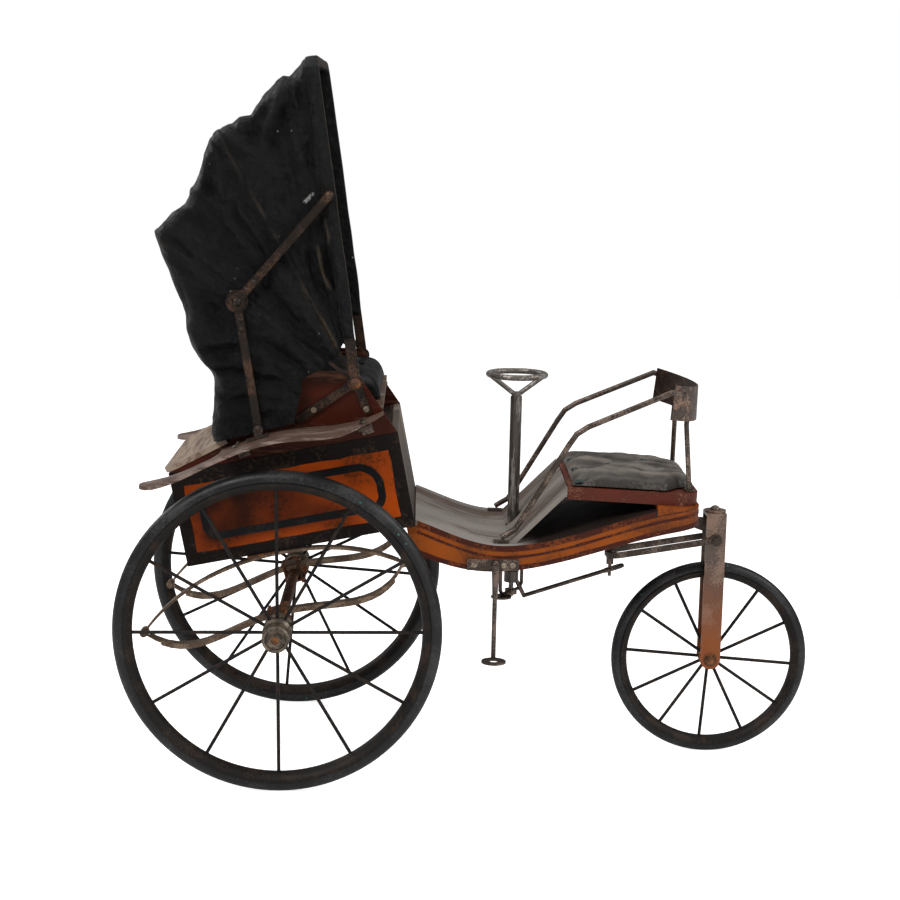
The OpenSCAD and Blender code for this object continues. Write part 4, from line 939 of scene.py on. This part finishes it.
    def surface(self, field: Field) -> tuple[Array, Array, Array]:
        """Works out one field of cloth as hoops times stations along the hoop.

        Each hoop runs from its hem straight up the side, turns a corner of one radius, crosses the top
        and comes down the other side.

        Args:
            field: which field of cloth.

        Returns:
            The points, the rubbed share of each point with a painted highlight where the cloth stands out,
            and the length of each hoop.
        """
        t = np.linspace(0, 1, self.rows)
        hem, top = self.edges(field, t)
        rise = top - hem
        length = np.linalg.norm(rise, axis=1)
        way = rise / length[:, None]
        turn = np.linspace(0, math.pi / 2, self.corner_cols)
        side = np.linspace(0, 1, self.side_cols)[None, :] * (length - self.corner)[:, None]
        bend = (length - self.corner)[:, None] + self.corner * np.sin(turn)[None, 1:-1]
        flat = np.repeat(length[:, None], self.top_cols, 1)
        up_run = np.concatenate([side, bend], 1)
        run = np.concatenate([up_run, flat, up_run[:, ::-1]], 1)
        half_y = np.full(self.side_cols, -self.half)
        bend_y = -(self.half - self.corner + self.corner * np.cos(turn[1:-1]))
        top_y = np.linspace(-1, 1, self.top_cols) * (self.half - self.corner)
        y = np.concatenate([half_y, bend_y, top_y, -bend_y[::-1], -half_y])
        side_tilt = np.concatenate([np.zeros(self.side_cols), turn[1:-1]])
        tilt = np.concatenate([side_tilt, np.full(self.top_cols, math.pi / 2), side_tilt[::-1]])
        out_side, out_top = np.sign(y + 1e-9) * np.cos(tilt), np.sin(tilt)
        up = run / length[:, None]
        across = np.broadcast_to(y / self.half, run.shape)
        share = np.repeat(t[:, None], run.shape[1], 1)
        x = hem[:, 0:1] + way[:, 0:1] * run
        z = hem[:, 1:2] + way[:, 1:2] * run
        shift, rub = self.folds(field, share, up, across, (x - AXLE[0]) / MM, z / MM)
        welt, crest = self.seams(field, share, run)
        shift = shift + welt
        if field is Field.FRONT:
            beside = (1 - smooth(share / 0.09)) * (1 - smooth((up - 0.9) / 0.1))
            shift = shift - self.front_tuck * beside
        if field is Field.MID:
            near_foot = (1 - smooth((run - 0.07) / 0.15)) * (1 - smooth((share - 0.3) / 0.35))
            shift = shift + (self.foot_spread - shift) * near_foot
        points = np.stack([
            x + way[:, 0:1] * shift * out_top, np.broadcast_to(y, run.shape) + shift * out_side,
            z + way[:, 1:2] * shift * out_top,
        ], -1)
        hoop = 2 * (length - self.corner) + 2 * (self.half - self.corner) + math.pi * self.corner
        # Painted highlight: cloth that stands out more than a millimetre takes the rubbed brown as though lit
        high = np.clip(shift - 0.001, 0, 1) * 190
        return points, np.clip(1.05 * crest + rub + high, 0, 1.2), hoop

    def build(self, shop: Paintshop) -> None:
        """Builds and dresses the three fields and the sleeve round the front bow.

        Args:
            shop: lays the finishes.
        """
        for field in Field:
            points, ridge, hoop = self.surface(field)
            rows, cols = points.shape[:2]
            piece = make_mesh(f"hood_cloth_{field.name.lower()}", points, grid_faces(rows, cols))
            face_outwards(piece, (PIVOT[0], 0.0, PIVOT[2]))
            set_attribute(piece, "ridge", ridge)
            set_attribute(piece, "scuff", self.scuff(points, field))
            thicken(piece, self.thickness, 0.0)
            shop.lay(piece, HOOD_CLOTH)
            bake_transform(piece)
            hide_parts(field.value)
        self.sleeve(shop)

    def scuff(self, points: Array, field: Field) -> Array:
        """The pale graze behind the iron's upper pin, on the right-hand side of the front field.

        Args:
            points: the field's points.
            field: which field of cloth.

        Returns:
            The grazed share of each point.
        """
        if field is not Field.FRONT:
            return np.zeros(points.shape[:2])
        graze = Fold(((27, 904), (38, 916), (50, 929)), 5.5, 1.0)
        share = graze.rise((points[..., 0] - AXLE[0]) / MM, points[..., 2] / MM)
        return share * (points[..., 1] < 0)

    def sleeve(self, shop: Paintshop) -> None:
        """The leather sleeve sewn round the front bow, one closed tube from hem over the top to hem.

        Its cross-section is a superellipse, |a/w|^5 + |b/t|^5 = 1, with a slow wobble of its width. It is
        narrower at its feet, where the bows come close together.

        Args:
            shop: lays the finish.
        """
        half_w, half_t, corner = 0.0098, 0.0066, 0.026
        mid_y, mid_reach = 0.1809, 0.4905
        sides, over, cols = 90, 70, 28
        foot, rise = self.front_hem - 0.004, mid_reach - corner
        turn = np.linspace(0, math.pi / 2, 10)[1:-1]
        side = np.linspace(foot, rise, sides)
        bend = rise + corner * np.sin(turn)
        run = np.concatenate([side, bend, np.full(over, mid_reach), bend[::-1], side[::-1]])
        bend_y = mid_y - corner + corner * np.cos(turn)
        half_y = np.full(sides, mid_y)
        roof_y = np.linspace(-1, 1, over) * (mid_y - corner)
        y = np.concatenate([-half_y, -bend_y, roof_y, bend_y[::-1], half_y])
        tilt = np.concatenate([
            np.zeros(sides), turn, np.full(over, math.pi / 2), math.pi - turn[::-1], np.full(sides, math.pi),
        ])
        around = np.linspace(0, 2 * math.pi, cols, endpoint=False)
        a, b = [np.sign(k) * np.abs(k) ** 0.4 for k in (np.cos(around), np.sin(around))]
        step = np.arange(len(run))
        taper = 1 - 0.2 * (1 - smooth((run - foot) / 0.05))
        wobble = 1 + 0.05 * soft_noise(step * 0.12, step * 0 + 2.0, 31)
        width = half_w * (taper * wobble)[:, None] * a[None, :]
        stitched = 1 - 0.05 * np.exp(-(((np.abs(a) - 0.75) / 0.08) ** 2))
        dips = 0.0003 * np.abs(soft_noise(step * 0.3, step * 0 + 6.0, 32))
        depth = half_t * (b * stitched)[None, :] - dips[:, None] * np.abs(b)[None, :]
        lean = math.radians(self.front_lean)
        ahead = np.array([math.cos(lean), math.sin(lean)])
        upward = np.array([-math.sin(lean), math.cos(lean)])
        reach = run[:, None] + depth * np.sin(tilt)[:, None]
        points = np.stack([
            PIVOT[0] + upward[0] * reach + ahead[0] * width,
            y[:, None] - depth * np.cos(tilt)[:, None],
            PIVOT[2] + upward[1] * reach + ahead[1] * width,
        ], -1)
        ends = [row.mean(1, keepdims=True).repeat(cols, 1) for row in (points[:1], points[-1:])]
        points = np.concatenate([ends[0], points, ends[1]])
        piece = make_mesh("hood_front_sleeve", points, grid_faces(len(points), cols, round_cols=True))
        # Edges browned as rub and painted highlight, and the upper face over the roof paled as wear and
        # painted highlight
        edge = np.broadcast_to(np.exp(-(((np.abs(a) - 0.98) / 0.1) ** 2)), points.shape[:2])
        on_top = np.concatenate([[0.0], np.sin(tilt), [0.0]])[:, None] ** 4 * np.clip(b, 0, 1)[None, :]
        set_attribute(piece, "ridge", 1.25 * edge)
        set_attribute(piece, "scuff", 0.72 * on_top)
        face_outwards(piece)
        shop.lay(piece, HOOD_CLOTH)
        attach(piece, "front_bow")

    @staticmethod
    def area(points: Array) -> float:
        """The area of a grid of points, half the cross product of each quad's diagonals, summed.

        Args:
            points: the grid.

        Returns:
            Square metres.
        """
        one = points[1:, 1:] - points[:-1, :-1]
        two = points[1:, :-1] - points[:-1, 1:]
        return float(np.linalg.norm(np.cross(one, two), axis=-1).sum() / 2)


# ---------------------------------------------------------------- the cushions


@dataclass
class Cushion:
    """A stuffed pad with a crowned top, pulled in between its corners and tied down by buttons."""

    name: str
    node: str
    finish: Finish
    thickness: float
    edge: float
    buttons: list[tuple[float, float]]
    tilt: float = 0.0
    waist: float = 0.02
    dent: float = 0.006
    lift: float = 0.0
    # Where the pad begins to ease in, over what length, and to what half width
    shoulder: Spot = (0.0, 0.0, 0.0)
    furrows: float = 0.0
    corner: float = 0.022
    grid: int = 109
    button_radius: float = 0.0078
    button_dome: float = 0.0040
    button_clear: float = 0.0008

    def half_width(self, x: Array, reach: float, half: float) -> Array:
        """Half the pad's width at each place ahead of its middle.

        The pad is full behind the shoulder, eases in over its run to pass inside the posts, and its front
        corners are rounded.

        Args:
            x: places ahead of the pad's middle.
            reach: half its length.
            half: half its full width.

        Returns:
            The half widths.
        """
        start, run, narrow = self.shoulder
        if not run:
            return np.full(x.shape, half)
        wide = half - (half - narrow) * smooth((x - start) / run)
        into = np.clip(x - (reach - self.corner), 0, self.corner)
        return wide - self.corner + np.sqrt(np.maximum(self.corner**2 - into**2, 0))

    def build(self, shop: Paintshop) -> Piece:
        """Builds the pad over its node's place.

        The top is the crown times the square root of (1 - |u|^9)(1 - |v|^12), less a round dent at each
        button with a wide shallow one about it. The underside is nearly flat.

        Args:
            shop: lays the finish.

        Returns:
            The cushion.
        """
        low, high = [np.array(v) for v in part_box(self.node)]
        middle, size = (low + high) / 2, high - low
        n = self.grid
        u, v = np.meshgrid(np.linspace(-1, 1, n), np.linspace(-1, 1, n), indexing="ij")
        x = u * (1 - self.waist * (1 - v**2)) * size[0] / 2
        y = v * (1 - self.waist * (1 - u**2)) * self.half_width(x, size[0] / 2, size[1] / 2)
        fall = np.clip((1 - np.abs(u) ** 9) * (1 - np.abs(v) ** 12), 0, 1) ** 0.5
        crown = self.edge + (self.thickness - self.edge) * (1 - 0.15 * u**2 - 0.2 * v**2)
        top = crown * fall
        for bu, bv in self.buttons:
            far = np.hypot((u - bu) * size[0] / 2, (v - bv) * size[1] / 2)
            top = top - self.dent * (np.exp(-((far / 0.014) ** 2)) + 0.3 * np.exp(-((far / 0.045) ** 2)))
        creases = soft_noise(u * 4 + v * 2 + 9, v * 5 - u * 3 + 4, 5) * 0.0016
        creases = creases + soft_noise(u * 9 - v * 5 + 9, v * 8 + u * 4 + 4, 6) * 0.0008
        long_folds = soft_noise(u * 1.6 + 3, v * 7 + 1.2 * u + 4, 9) * self.furrows
        top = top + (creases + long_folds) * fall
        roll = 0.5 * (1 - np.sqrt(np.clip(1 - (1 - fall) ** 2, 0, 1)))
        fall_away = math.tan(math.radians(self.tilt))
        base = low[2] + size[0] / 2 * abs(fall_away) - fall_away * x + self.lift
        upper = np.stack([middle[0] + x, middle[1] + y, base + np.maximum(top, 0.002)], -1)
        under = np.stack([middle[0] + x, middle[1] + y, base + 0.3 * self.edge * (1 - fall) * (1 - roll)], -1)
        rows = np.concatenate([upper.reshape(-1, 3), under.reshape(-1, 3)])
        faces = grid_faces(n, n)
        piece = make_mesh(self.name, rows, np.concatenate([faces, faces[:, ::-1] + n * n, self.rim_faces(n)]))
        # Painted highlight and shade: lighter on the raised folds, dark in the creases, fading out towards
        # the pad's sides
        dent = np.clip((creases + long_folds) * 280 + 0.55, 0, 1) * smooth((1 - np.abs(v)) * 2.6)
        set_attribute(piece, "stain", np.concatenate([dent.ravel(), np.zeros(n * n)]))
        smooth_rim = piece.modifiers.new("round", "SUBSURF")
        smooth_rim.levels = smooth_rim.render_levels = 1
        shop.lay(piece, self.finish)
        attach(piece, "root")
        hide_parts(self.node)
        self.tie(shop, middle, size, base, top)
        LOG.info("cushion %s: %d buttons", self.name, len(self.buttons))
        return piece

    @staticmethod
    def rim_faces(n: int) -> Array:
        """Quads that join the edge of the top grid to the edge of the underside.

        Args:
            n: points along each side of a grid.

        Returns:
            One row of four point numbers per quad.
        """
        ring = np.concatenate([
            np.arange(n) * n, (n - 1) * n + np.arange(1, n), (np.arange(n - 1)[::-1]) * n + n - 1,
            np.arange(1, n - 1)[::-1],
        ])
        after = np.roll(ring, -1)
        return np.stack([ring, after, after + n * n, ring + n * n], 1)

    def tie(self, shop: Paintshop, middle: Array, size: Array, base: Array, top: Array) -> None:
        """Sets a domed button in each dent: a disc whose profile is a quarter of an ellipse.

        Args:
            shop: lays the finish.
            middle: the middle of the node's place.
            size: the node's size.
            base: heights of the pad's grid at the seat.
            top: heights of the grid's top over its base.
        """
        turn = np.linspace(0, 2 * math.pi, 20, endpoint=False)
        rise = np.linspace(0.02, 1, 6) * math.pi / 2
        ring = self.button_radius * np.sin(rise)[:, None]
        for number, (bu, bv) in enumerate(self.buttons):
            i, j = [int(round((share + 1) / 2 * (self.grid - 1))) for share in (bu, bv)]
            z = float(base[i, j] + top[i, j])
            height = z + self.button_clear + self.button_dome * np.cos(rise)
            x, y = middle[0] + bu * size[0] / 2, middle[1] + bv * size[1] / 2
            points = np.stack([
                x + ring * np.cos(turn), y + ring * np.sin(turn), np.repeat(height[:, None], len(turn), 1),
            ], -1)
            name = f"{self.name}_button_{number + 1}"
            piece = make_mesh(name, points, grid_faces(len(rise), len(turn), round_cols=True))
            face_outwards(piece, (x, y, z - 0.02))
            thicken(piece, 0.001, -1.0)
            shop.lay(piece, BUTTON)
            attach(piece, "root")


# ---------------------------------------------------------------- painted lines and fields


@dataclass(frozen=True)
class BoxSide:
    """One side of the box: right is -1 and left is 1, its lower rear corner, and its two edges from there."""

    name: str
    side: int
    corner: Array
    wide_edge: Array
    tall_edge: Array


@dataclass
class PaintedBox:
    """The burnt-orange field and the black lining on each side of the box."""

    lift: float = 0.00025
    side_y: float = 0.163
    border: float = 0.019
    top_border: float = 0.024
    lining: float = 0.0118
    inset: float = 0.035
    top_inset: float = 0.0375

    def build(self, shop: Paintshop) -> None:
        """Lays the field and the lining on both sides.

        The field is a plain four-sided patch within the border. The lining is a band of one width whose
        middle line has rounded corners, the largest at the front top, with a slow wobble as a brush
        leaves it.

        Args:
            shop: lays the finishes.
        """
        corners = axle_points([(-146, 338.4), (208.7, 410.4), (178.6, 558.3), (-176.1, 486.2)])
        a, b, _, d = [np.array(p) for p in corners]
        for side, name in ((-1, "right"), (1, "left")):
            box = BoxSide(name, side, a, b - a, d - a)
            self.patch(shop, box)
            self.band(shop, box)
        LOG.info("painted box sides")

    def on_side(self, flat: Array, side: int, layers: int) -> Array:
        """X and Z made places on one side of the box, a number of films of paint out."""
        y = np.full(flat.shape[:-1], side * (self.side_y + layers * self.lift))
        return np.stack([flat[..., 0], y, flat[..., 1]], -1)

    def patch(self, shop: Paintshop, box: BoxSide) -> None:
        """The orange field, inset by the border; its middle and rear are laid darker.

        Args:
            shop: lays the finish.
            box: the side of the box.
        """
        cols, rows, wobble = 90, 36, 0.0012
        u, v = np.meshgrid(np.linspace(0, 1, cols), np.linspace(0, 1, rows), indexing="ij")
        wide, tall = np.linalg.norm(box.wide_edge), np.linalg.norm(box.tall_edge)
        edge_u = self.border + wobble * soft_noise(v * 5, v * 0 + 2, 8)
        low = self.border + wobble * soft_noise(u * 12, u * 0 + 4, 9)
        high = self.top_border + wobble * soft_noise(u * 12, u * 0 + 9, 9)
        s = edge_u / wide + u * (1 - 2 * edge_u / wide)
        r = low / tall + v * (1 - (low + high) / tall)
        flat = box.corner + box.wide_edge * s[..., None] + box.tall_edge * r[..., None]
        points = self.on_side(flat, box.side, 1)
        piece = make_mesh(f"panel_field_{box.name}", points, grid_faces(cols, rows), False)
        cloud = 0.5 + 0.5 * soft_noise(u * 5 + 2, v * 2.2 + 5, 41)
        within = smooth(np.minimum(u, 1 - u) * 9) * smooth(np.minimum(v, 1 - v) * 4.5)
        dark = smooth((0.93 - u) / 0.55) * within * (0.5 + 0.65 * cloud) + 0.4 * smooth((0.45 - u) / 0.5)
        set_attribute(piece, "stain", np.clip(dark, 0, 1))
        shop.film(piece, ORANGE, BETWEEN_SIDES)

    def band(self, shop: Paintshop, box: BoxSide) -> None:
        """The lining: a closed band about a rounded outline inset from the box's edges.

        Args:
            shop: lays the finish.
            box: the side of the box.
        """
        wide, tall = np.linalg.norm(box.wide_edge), np.linalg.norm(box.tall_edge)
        m, top = self.inset + self.lining / 2, self.top_inset + self.lining / 2
        corner = (
            (wide - m, m, 0.020, -90), (wide - m, tall - top, 0.034, 0), (m, tall - top, 0.020, 90),
            (m, m, 0.020, 180),
        )
        bends = []
        for x, z, r, start in corner:
            turn = np.radians(np.linspace(start, start + 90, 14))
            inward = np.array([-1.0 if start in (-90, 0) else 1.0, 1.0 if start in (-90, 180) else -1.0])
            bends.append(np.array([x, z]) + r * inward + r * np.stack([np.cos(turn), np.sin(turn)], 1))
        knots = np.concatenate(bends)
        shares = np.linspace(0, 1, 8, endpoint=False)[None, :, None]
        loop = (knots[:, None] + (np.roll(knots, -1, 0) - knots)[:, None] * shares).reshape(-1, 2)
        ahead = np.roll(loop, -3, 0) - np.roll(loop, 3, 0)
        ahead /= np.linalg.norm(ahead, axis=1)[:, None]
        out = np.stack([ahead[:, 1], -ahead[:, 0]], 1)
        k = np.arange(len(loop))
        wobble = 0.0007 * soft_noise(k * 0.05, k * 0 + 3.0, 13)
        half = self.lining / 2 * (1 + 0.1 * soft_noise(k * 0.04, k * 0 + 8.0, 14))
        edges = [loop + out * (wobble + sign * half)[:, None] for sign in (-1, 1)]
        across = np.stack([box.wide_edge / wide, box.tall_edge / tall])
        points = self.on_side(box.corner + np.stack(edges, 1) @ across, box.side, 2)
        faces = grid_faces(len(loop), 2, round_rows=True)
        piece = make_mesh(f"panel_lining_{box.name}", points, faces, False)
        shop.film(piece, LINING, BETWEEN_SIDES)


@dataclass
class SillLines:
    """The lines brushed along both sills and round the nose, from edge to edge as one ribbon each."""

    lift: float = 0.00025
    half: float = 150.0
    nose_x: float = 660.0
    nose_round: float = 42.0
    rear_x: float = 212.0
    floor_end: float = 588.0
    along_side: int = 200
    round_nose: int = 25
    across_nose: int = 40

    def path(self) -> tuple[Array, Array]:
        """The sills' outline seen from above: along one side, round the nose and back along the other.

        Returns:
            Places and outward ways, in millimetres ahead of the rear axle and to the left.
        """
        centre = np.array([self.nose_x, self.half]) - self.nose_round
        straight = np.linspace(self.rear_x, centre[0], self.along_side)
        turn = np.linspace(0, math.pi / 2, self.round_nose + 1)[1:]
        round_way = np.stack([np.sin(turn), np.cos(turn)], 1)
        inwards = np.linspace(centre[1], 0, self.across_nose + 1)[1:]
        one = np.concatenate([
            np.stack([straight, np.full(self.along_side, self.half)], 1),
            centre + self.nose_round * round_way,
            np.stack([np.full(self.across_nose, self.nose_x), inwards], 1),
        ])
        way = np.concatenate([
            np.tile([0.0, 1.0], (self.along_side, 1)), round_way, np.tile([1.0, 0.0], (self.across_nose, 1)),
        ])
        flip = np.array([1.0, -1.0])
        return np.concatenate([one * flip, one[-2::-1]]), np.concatenate([way * flip, way[-2::-1]])

    @staticmethod
    def curve(x: Array, places: list[Spot]) -> Array:
        """Heights along cubic spans that join set places, level past the last one.

        Args:
            x: where the heights are wanted.
            places: X, height and slope of each place.

        Returns:
            The heights.
        """
        height = np.full(x.shape, places[-1][1])
        for (x0, z0, s0), (x1, z1, s1) in zip(places, places[1:]):
            t = (x - x0) / (x1 - x0)
            span = (2 * t**3 - 3 * t**2 + 1) * z0 + (t**3 - 2 * t**2 + t) * (x1 - x0) * s0
            span = span + (3 * t**2 - 2 * t**3) * z1 + (t**3 - t**2) * (x1 - x0) * s1
            height = np.where((t >= 0) & (t <= 1), span, height)
        return height

    def build(self, shop: Paintshop) -> None:
        """Lays the ribbons at set depths below the sill's top edge and above its lower edge.

        Args:
            shop: lays the finish.
        """
        place, way = self.path()
        x = place[:, 0]
        top = self.curve(x, [(208.7, 409.9, -0.35), (344.7, 370.4, 0.0), (self.nose_x, 443.4, 0.08)])
        low = self.curve(x, [(204.7, 366.4, -0.45), (326.7, 336.4, 0.0), (self.nose_x, 411.4, 0.1)])
        k = np.arange(len(x))
        shaky = soft_noise(k * 0.11, k * 0 + 2.0, 21)
        bands = {
            "top": (top - 0.2, top - 1.6 + 0.4 * shaky),
            "middle": (top - 8.2 - 0.4 * shaky, top - 12.8 + 0.3 * shaky),
            "low": (low + 8.2 - 0.7 * shaky, low + 0.3),
        }
        out = place + way * self.lift / MM
        spot = np.stack([AXLE[0] + out[:, 0] * MM, out[:, 1] * MM], 1)
        for label, (upper, lower) in bands.items():
            self.ribbon(shop, f"sill_line_{label}", spot, upper, lower)
        # The floor board's long edges, where they lie on the sills
        rows = (place[:, 1] > self.half - 0.5) & (x < self.floor_end)
        for side, name in ((-1, "right"), (1, "left")):
            y = np.full(rows.sum(), side * (self.half * MM + self.lift))
            edge = np.stack([AXLE[0] + x[rows] * MM, y], 1)
            self.ribbon(shop, f"floor_edge_{name}", edge, top[rows] + 7.9, top[rows] + 0.1)
        LOG.info("sill lines laid")

    @staticmethod
    def ribbon(shop: Paintshop, name: str, spot: Array, upper: Array, lower: Array) -> None:
        """Lays one dark red ribbon.

        Args:
            shop: lays the finish.
            name: the piece's name.
            spot: X and Y along it, in metres.
            upper: heights of its upper edge, in millimetres.
            lower: heights of its lower edge, in millimetres.
        """
        points = np.stack([np.column_stack([spot, edge * MM]) for edge in (upper, lower)], 1)
        piece = make_mesh(name, points, grid_faces(len(spot), 2), False)
        inside = (float(spot[:, 0].mean()), 0.0, float(upper.mean()) * MM)
        shop.film(piece, DARK_RED_LINE, inside)


# ---------------------------------------------------------------- the studio


# Each lamp's place, size and power
LAMPS: dict[str, tuple[Spot, float, float]] = {
    "key_lamp": ((-1.9, -2.3, 3.0), 1.2, 78.0),
    "raking_lamp": ((2.5, -0.9, 2.3), 1.0, 34.0),
    "fill_lamp": ((2.2, -2.8, 1.3), 2.0, 22.0),
    "top_lamp": ((0.0, 0.6, 3.2), 2.4, 34.0),
    "rear_lamp": ((-2.4, 1.6, 1.8), 1.4, 26.0),
}


@dataclass
class Studio:
    """A pale floor, soft lamps and a camera at a standing child's side view."""

    lens: float = 76.32
    place: Spot = (0.2047, -3.0846, 1.0302)
    right: Spot = (0.999619, -0.0151419, 0.0230778)
    up: Spot = (-0.02020157, 0.16838319, 0.98551458)
    ahead: Spot = (0.01880848, 0.98560531, -0.16801315)

    def build(self) -> None:
        """Sets the camera, the lamps, the world and the floor."""
        self.camera()
        for name, (place, size, power) in LAMPS.items():
            self.lamp(name, place, size, power)
        self.world()
        self.floor()
        bpy.context.scene.view_settings.view_transform = "Standard"

    def camera(self) -> None:
        """Places the camera by its three ways and its lens."""
        data = bpy.data.cameras.new("camera")
        data.lens = self.lens
        data.sensor_width = 36.0
        seen = bpy.data.objects.new("camera", data)
        bpy.context.scene.collection.objects.link(seen)
        ways = Matrix([
            [self.right[k], self.up[k], -self.ahead[k], 0.0] for k in range(3)
        ] + [[0.0, 0.0, 0.0, 1.0]])
        place = Vector((self.place[0] + AXLE[0], self.place[1], self.place[2]))
        seen.matrix_world = Matrix.Translation(place) @ ways
        bpy.context.scene.camera = seen

    @staticmethod
    def lamp(name: str, place: Spot, size: float, power: float) -> None:
        """Adds a square lamp that looks at the middle of the tricycle.

        Args:
            name: the lamp's name.
            place: where it stands.
            size: its side.
            power: its watts.
        """
        data = bpy.data.lights.new(name, "AREA")
        data.size = size
        data.energy = power
        lamp = bpy.data.objects.new(name, data)
        bpy.context.scene.collection.objects.link(lamp)
        lamp.location = place
        way = Vector((0.0, 0.0, 0.5)) - Vector(place)
        lamp.rotation_euler = way.to_track_quat("-Z", "Y").to_euler()

    @staticmethod
    def world() -> None:
        """A plain white surround: seen as white, and giving a soft level light."""
        world = bpy.data.worlds.new("studio_white")
        world.use_nodes = True
        bpy.context.scene.world = world
        tree = world.node_tree
        glow = tree.nodes["Background"]
        rays = add(tree, "ShaderNodeLightPath")
        level = add(tree, "ShaderNodeMapRange", {0: rays.outputs["Is Camera Ray"], 3: 0.3, 4: 1.0}).outputs[0]
        mirrored = {0: rays.outputs["Is Glossy Ray"], 1: -0.16, 2: level}
        strength = add(tree, "ShaderNodeMath", mirrored, operation="MULTIPLY_ADD").outputs[0]
        glow.inputs["Color"].default_value = (1.0, 1.0, 1.0, 1.0)
        tree.links.new(strength, glow.inputs["Strength"])

    @staticmethod
    def floor() -> None:
        """A white floor that fades into the surround and keeps a faint shadow."""
        points = np.array([[-9.0, -9.0, 0.0], [9.0, -9.0, 0.0], [9.0, 9.0, 0.0], [-9.0, 9.0, 0.0]])
        floor = make_mesh("floor", points, np.array([[0, 1, 2, 3]]), False)
        material, tree, shader = new_material("paper_white")
        shader.inputs["Base Color"].default_value = linear("#e9e9e9")
        shader.inputs["Roughness"].default_value = 1.0
        rays = add(tree, "ShaderNodeLightPath").outputs["Is Camera Ray"]
        strength = add(tree, "ShaderNodeMapRange", {0: rays, 3: 0.0, 4: 0.82}).outputs[0]
        glow = add(tree, "ShaderNodeEmission", {"Color": (1.0, 1.0, 1.0, 1.0), "Strength": strength})
        both = add(tree, "ShaderNodeAddShader", {0: shader.outputs[0], 1: glow.outputs[0]})
        tree.links.new(both.outputs[0], tree.nodes["Material Output"].inputs["Surface"])
        floor.data.materials.append(material)


def main() -> None:
    """Dresses the frame, adds the soft and painted pieces and sets the studio."""
    logging.basicConfig(level=logging.INFO, format="%(message)s")
    shop = Paintshop()
    shop.dress_frame()
    Hood().build(shop)
    Cushion(
        "front_pad", "front_cushion", CUSHION, thickness=0.023, edge=0.011, tilt=2.5,
        shoulder=(0.045, 0.034, 0.0905), furrows=0.0018, dent=0.007,
        buttons=[(-0.88, -0.9), (-0.88, -0.22), (-0.88, 0.5), (-0.3, 0.12), (0.35, -0.35), (0.35, 0.6)],
    ).build(shop)
    Cushion(
        "rear_pad", "rear_cushion", REAR_CUSHION, thickness=0.042, edge=0.018, waist=0.03,
        buttons=[(0.55, -0.6), (0.55, 0.0), (0.55, 0.6), (-0.4, -0.6), (-0.4, 0.0), (-0.4, 0.6)],
    ).build(shop)
    PaintedBox().build(shop)
    SillLines().build(shop)
    Studio().build()


if __name__ == "__main__":
    main()
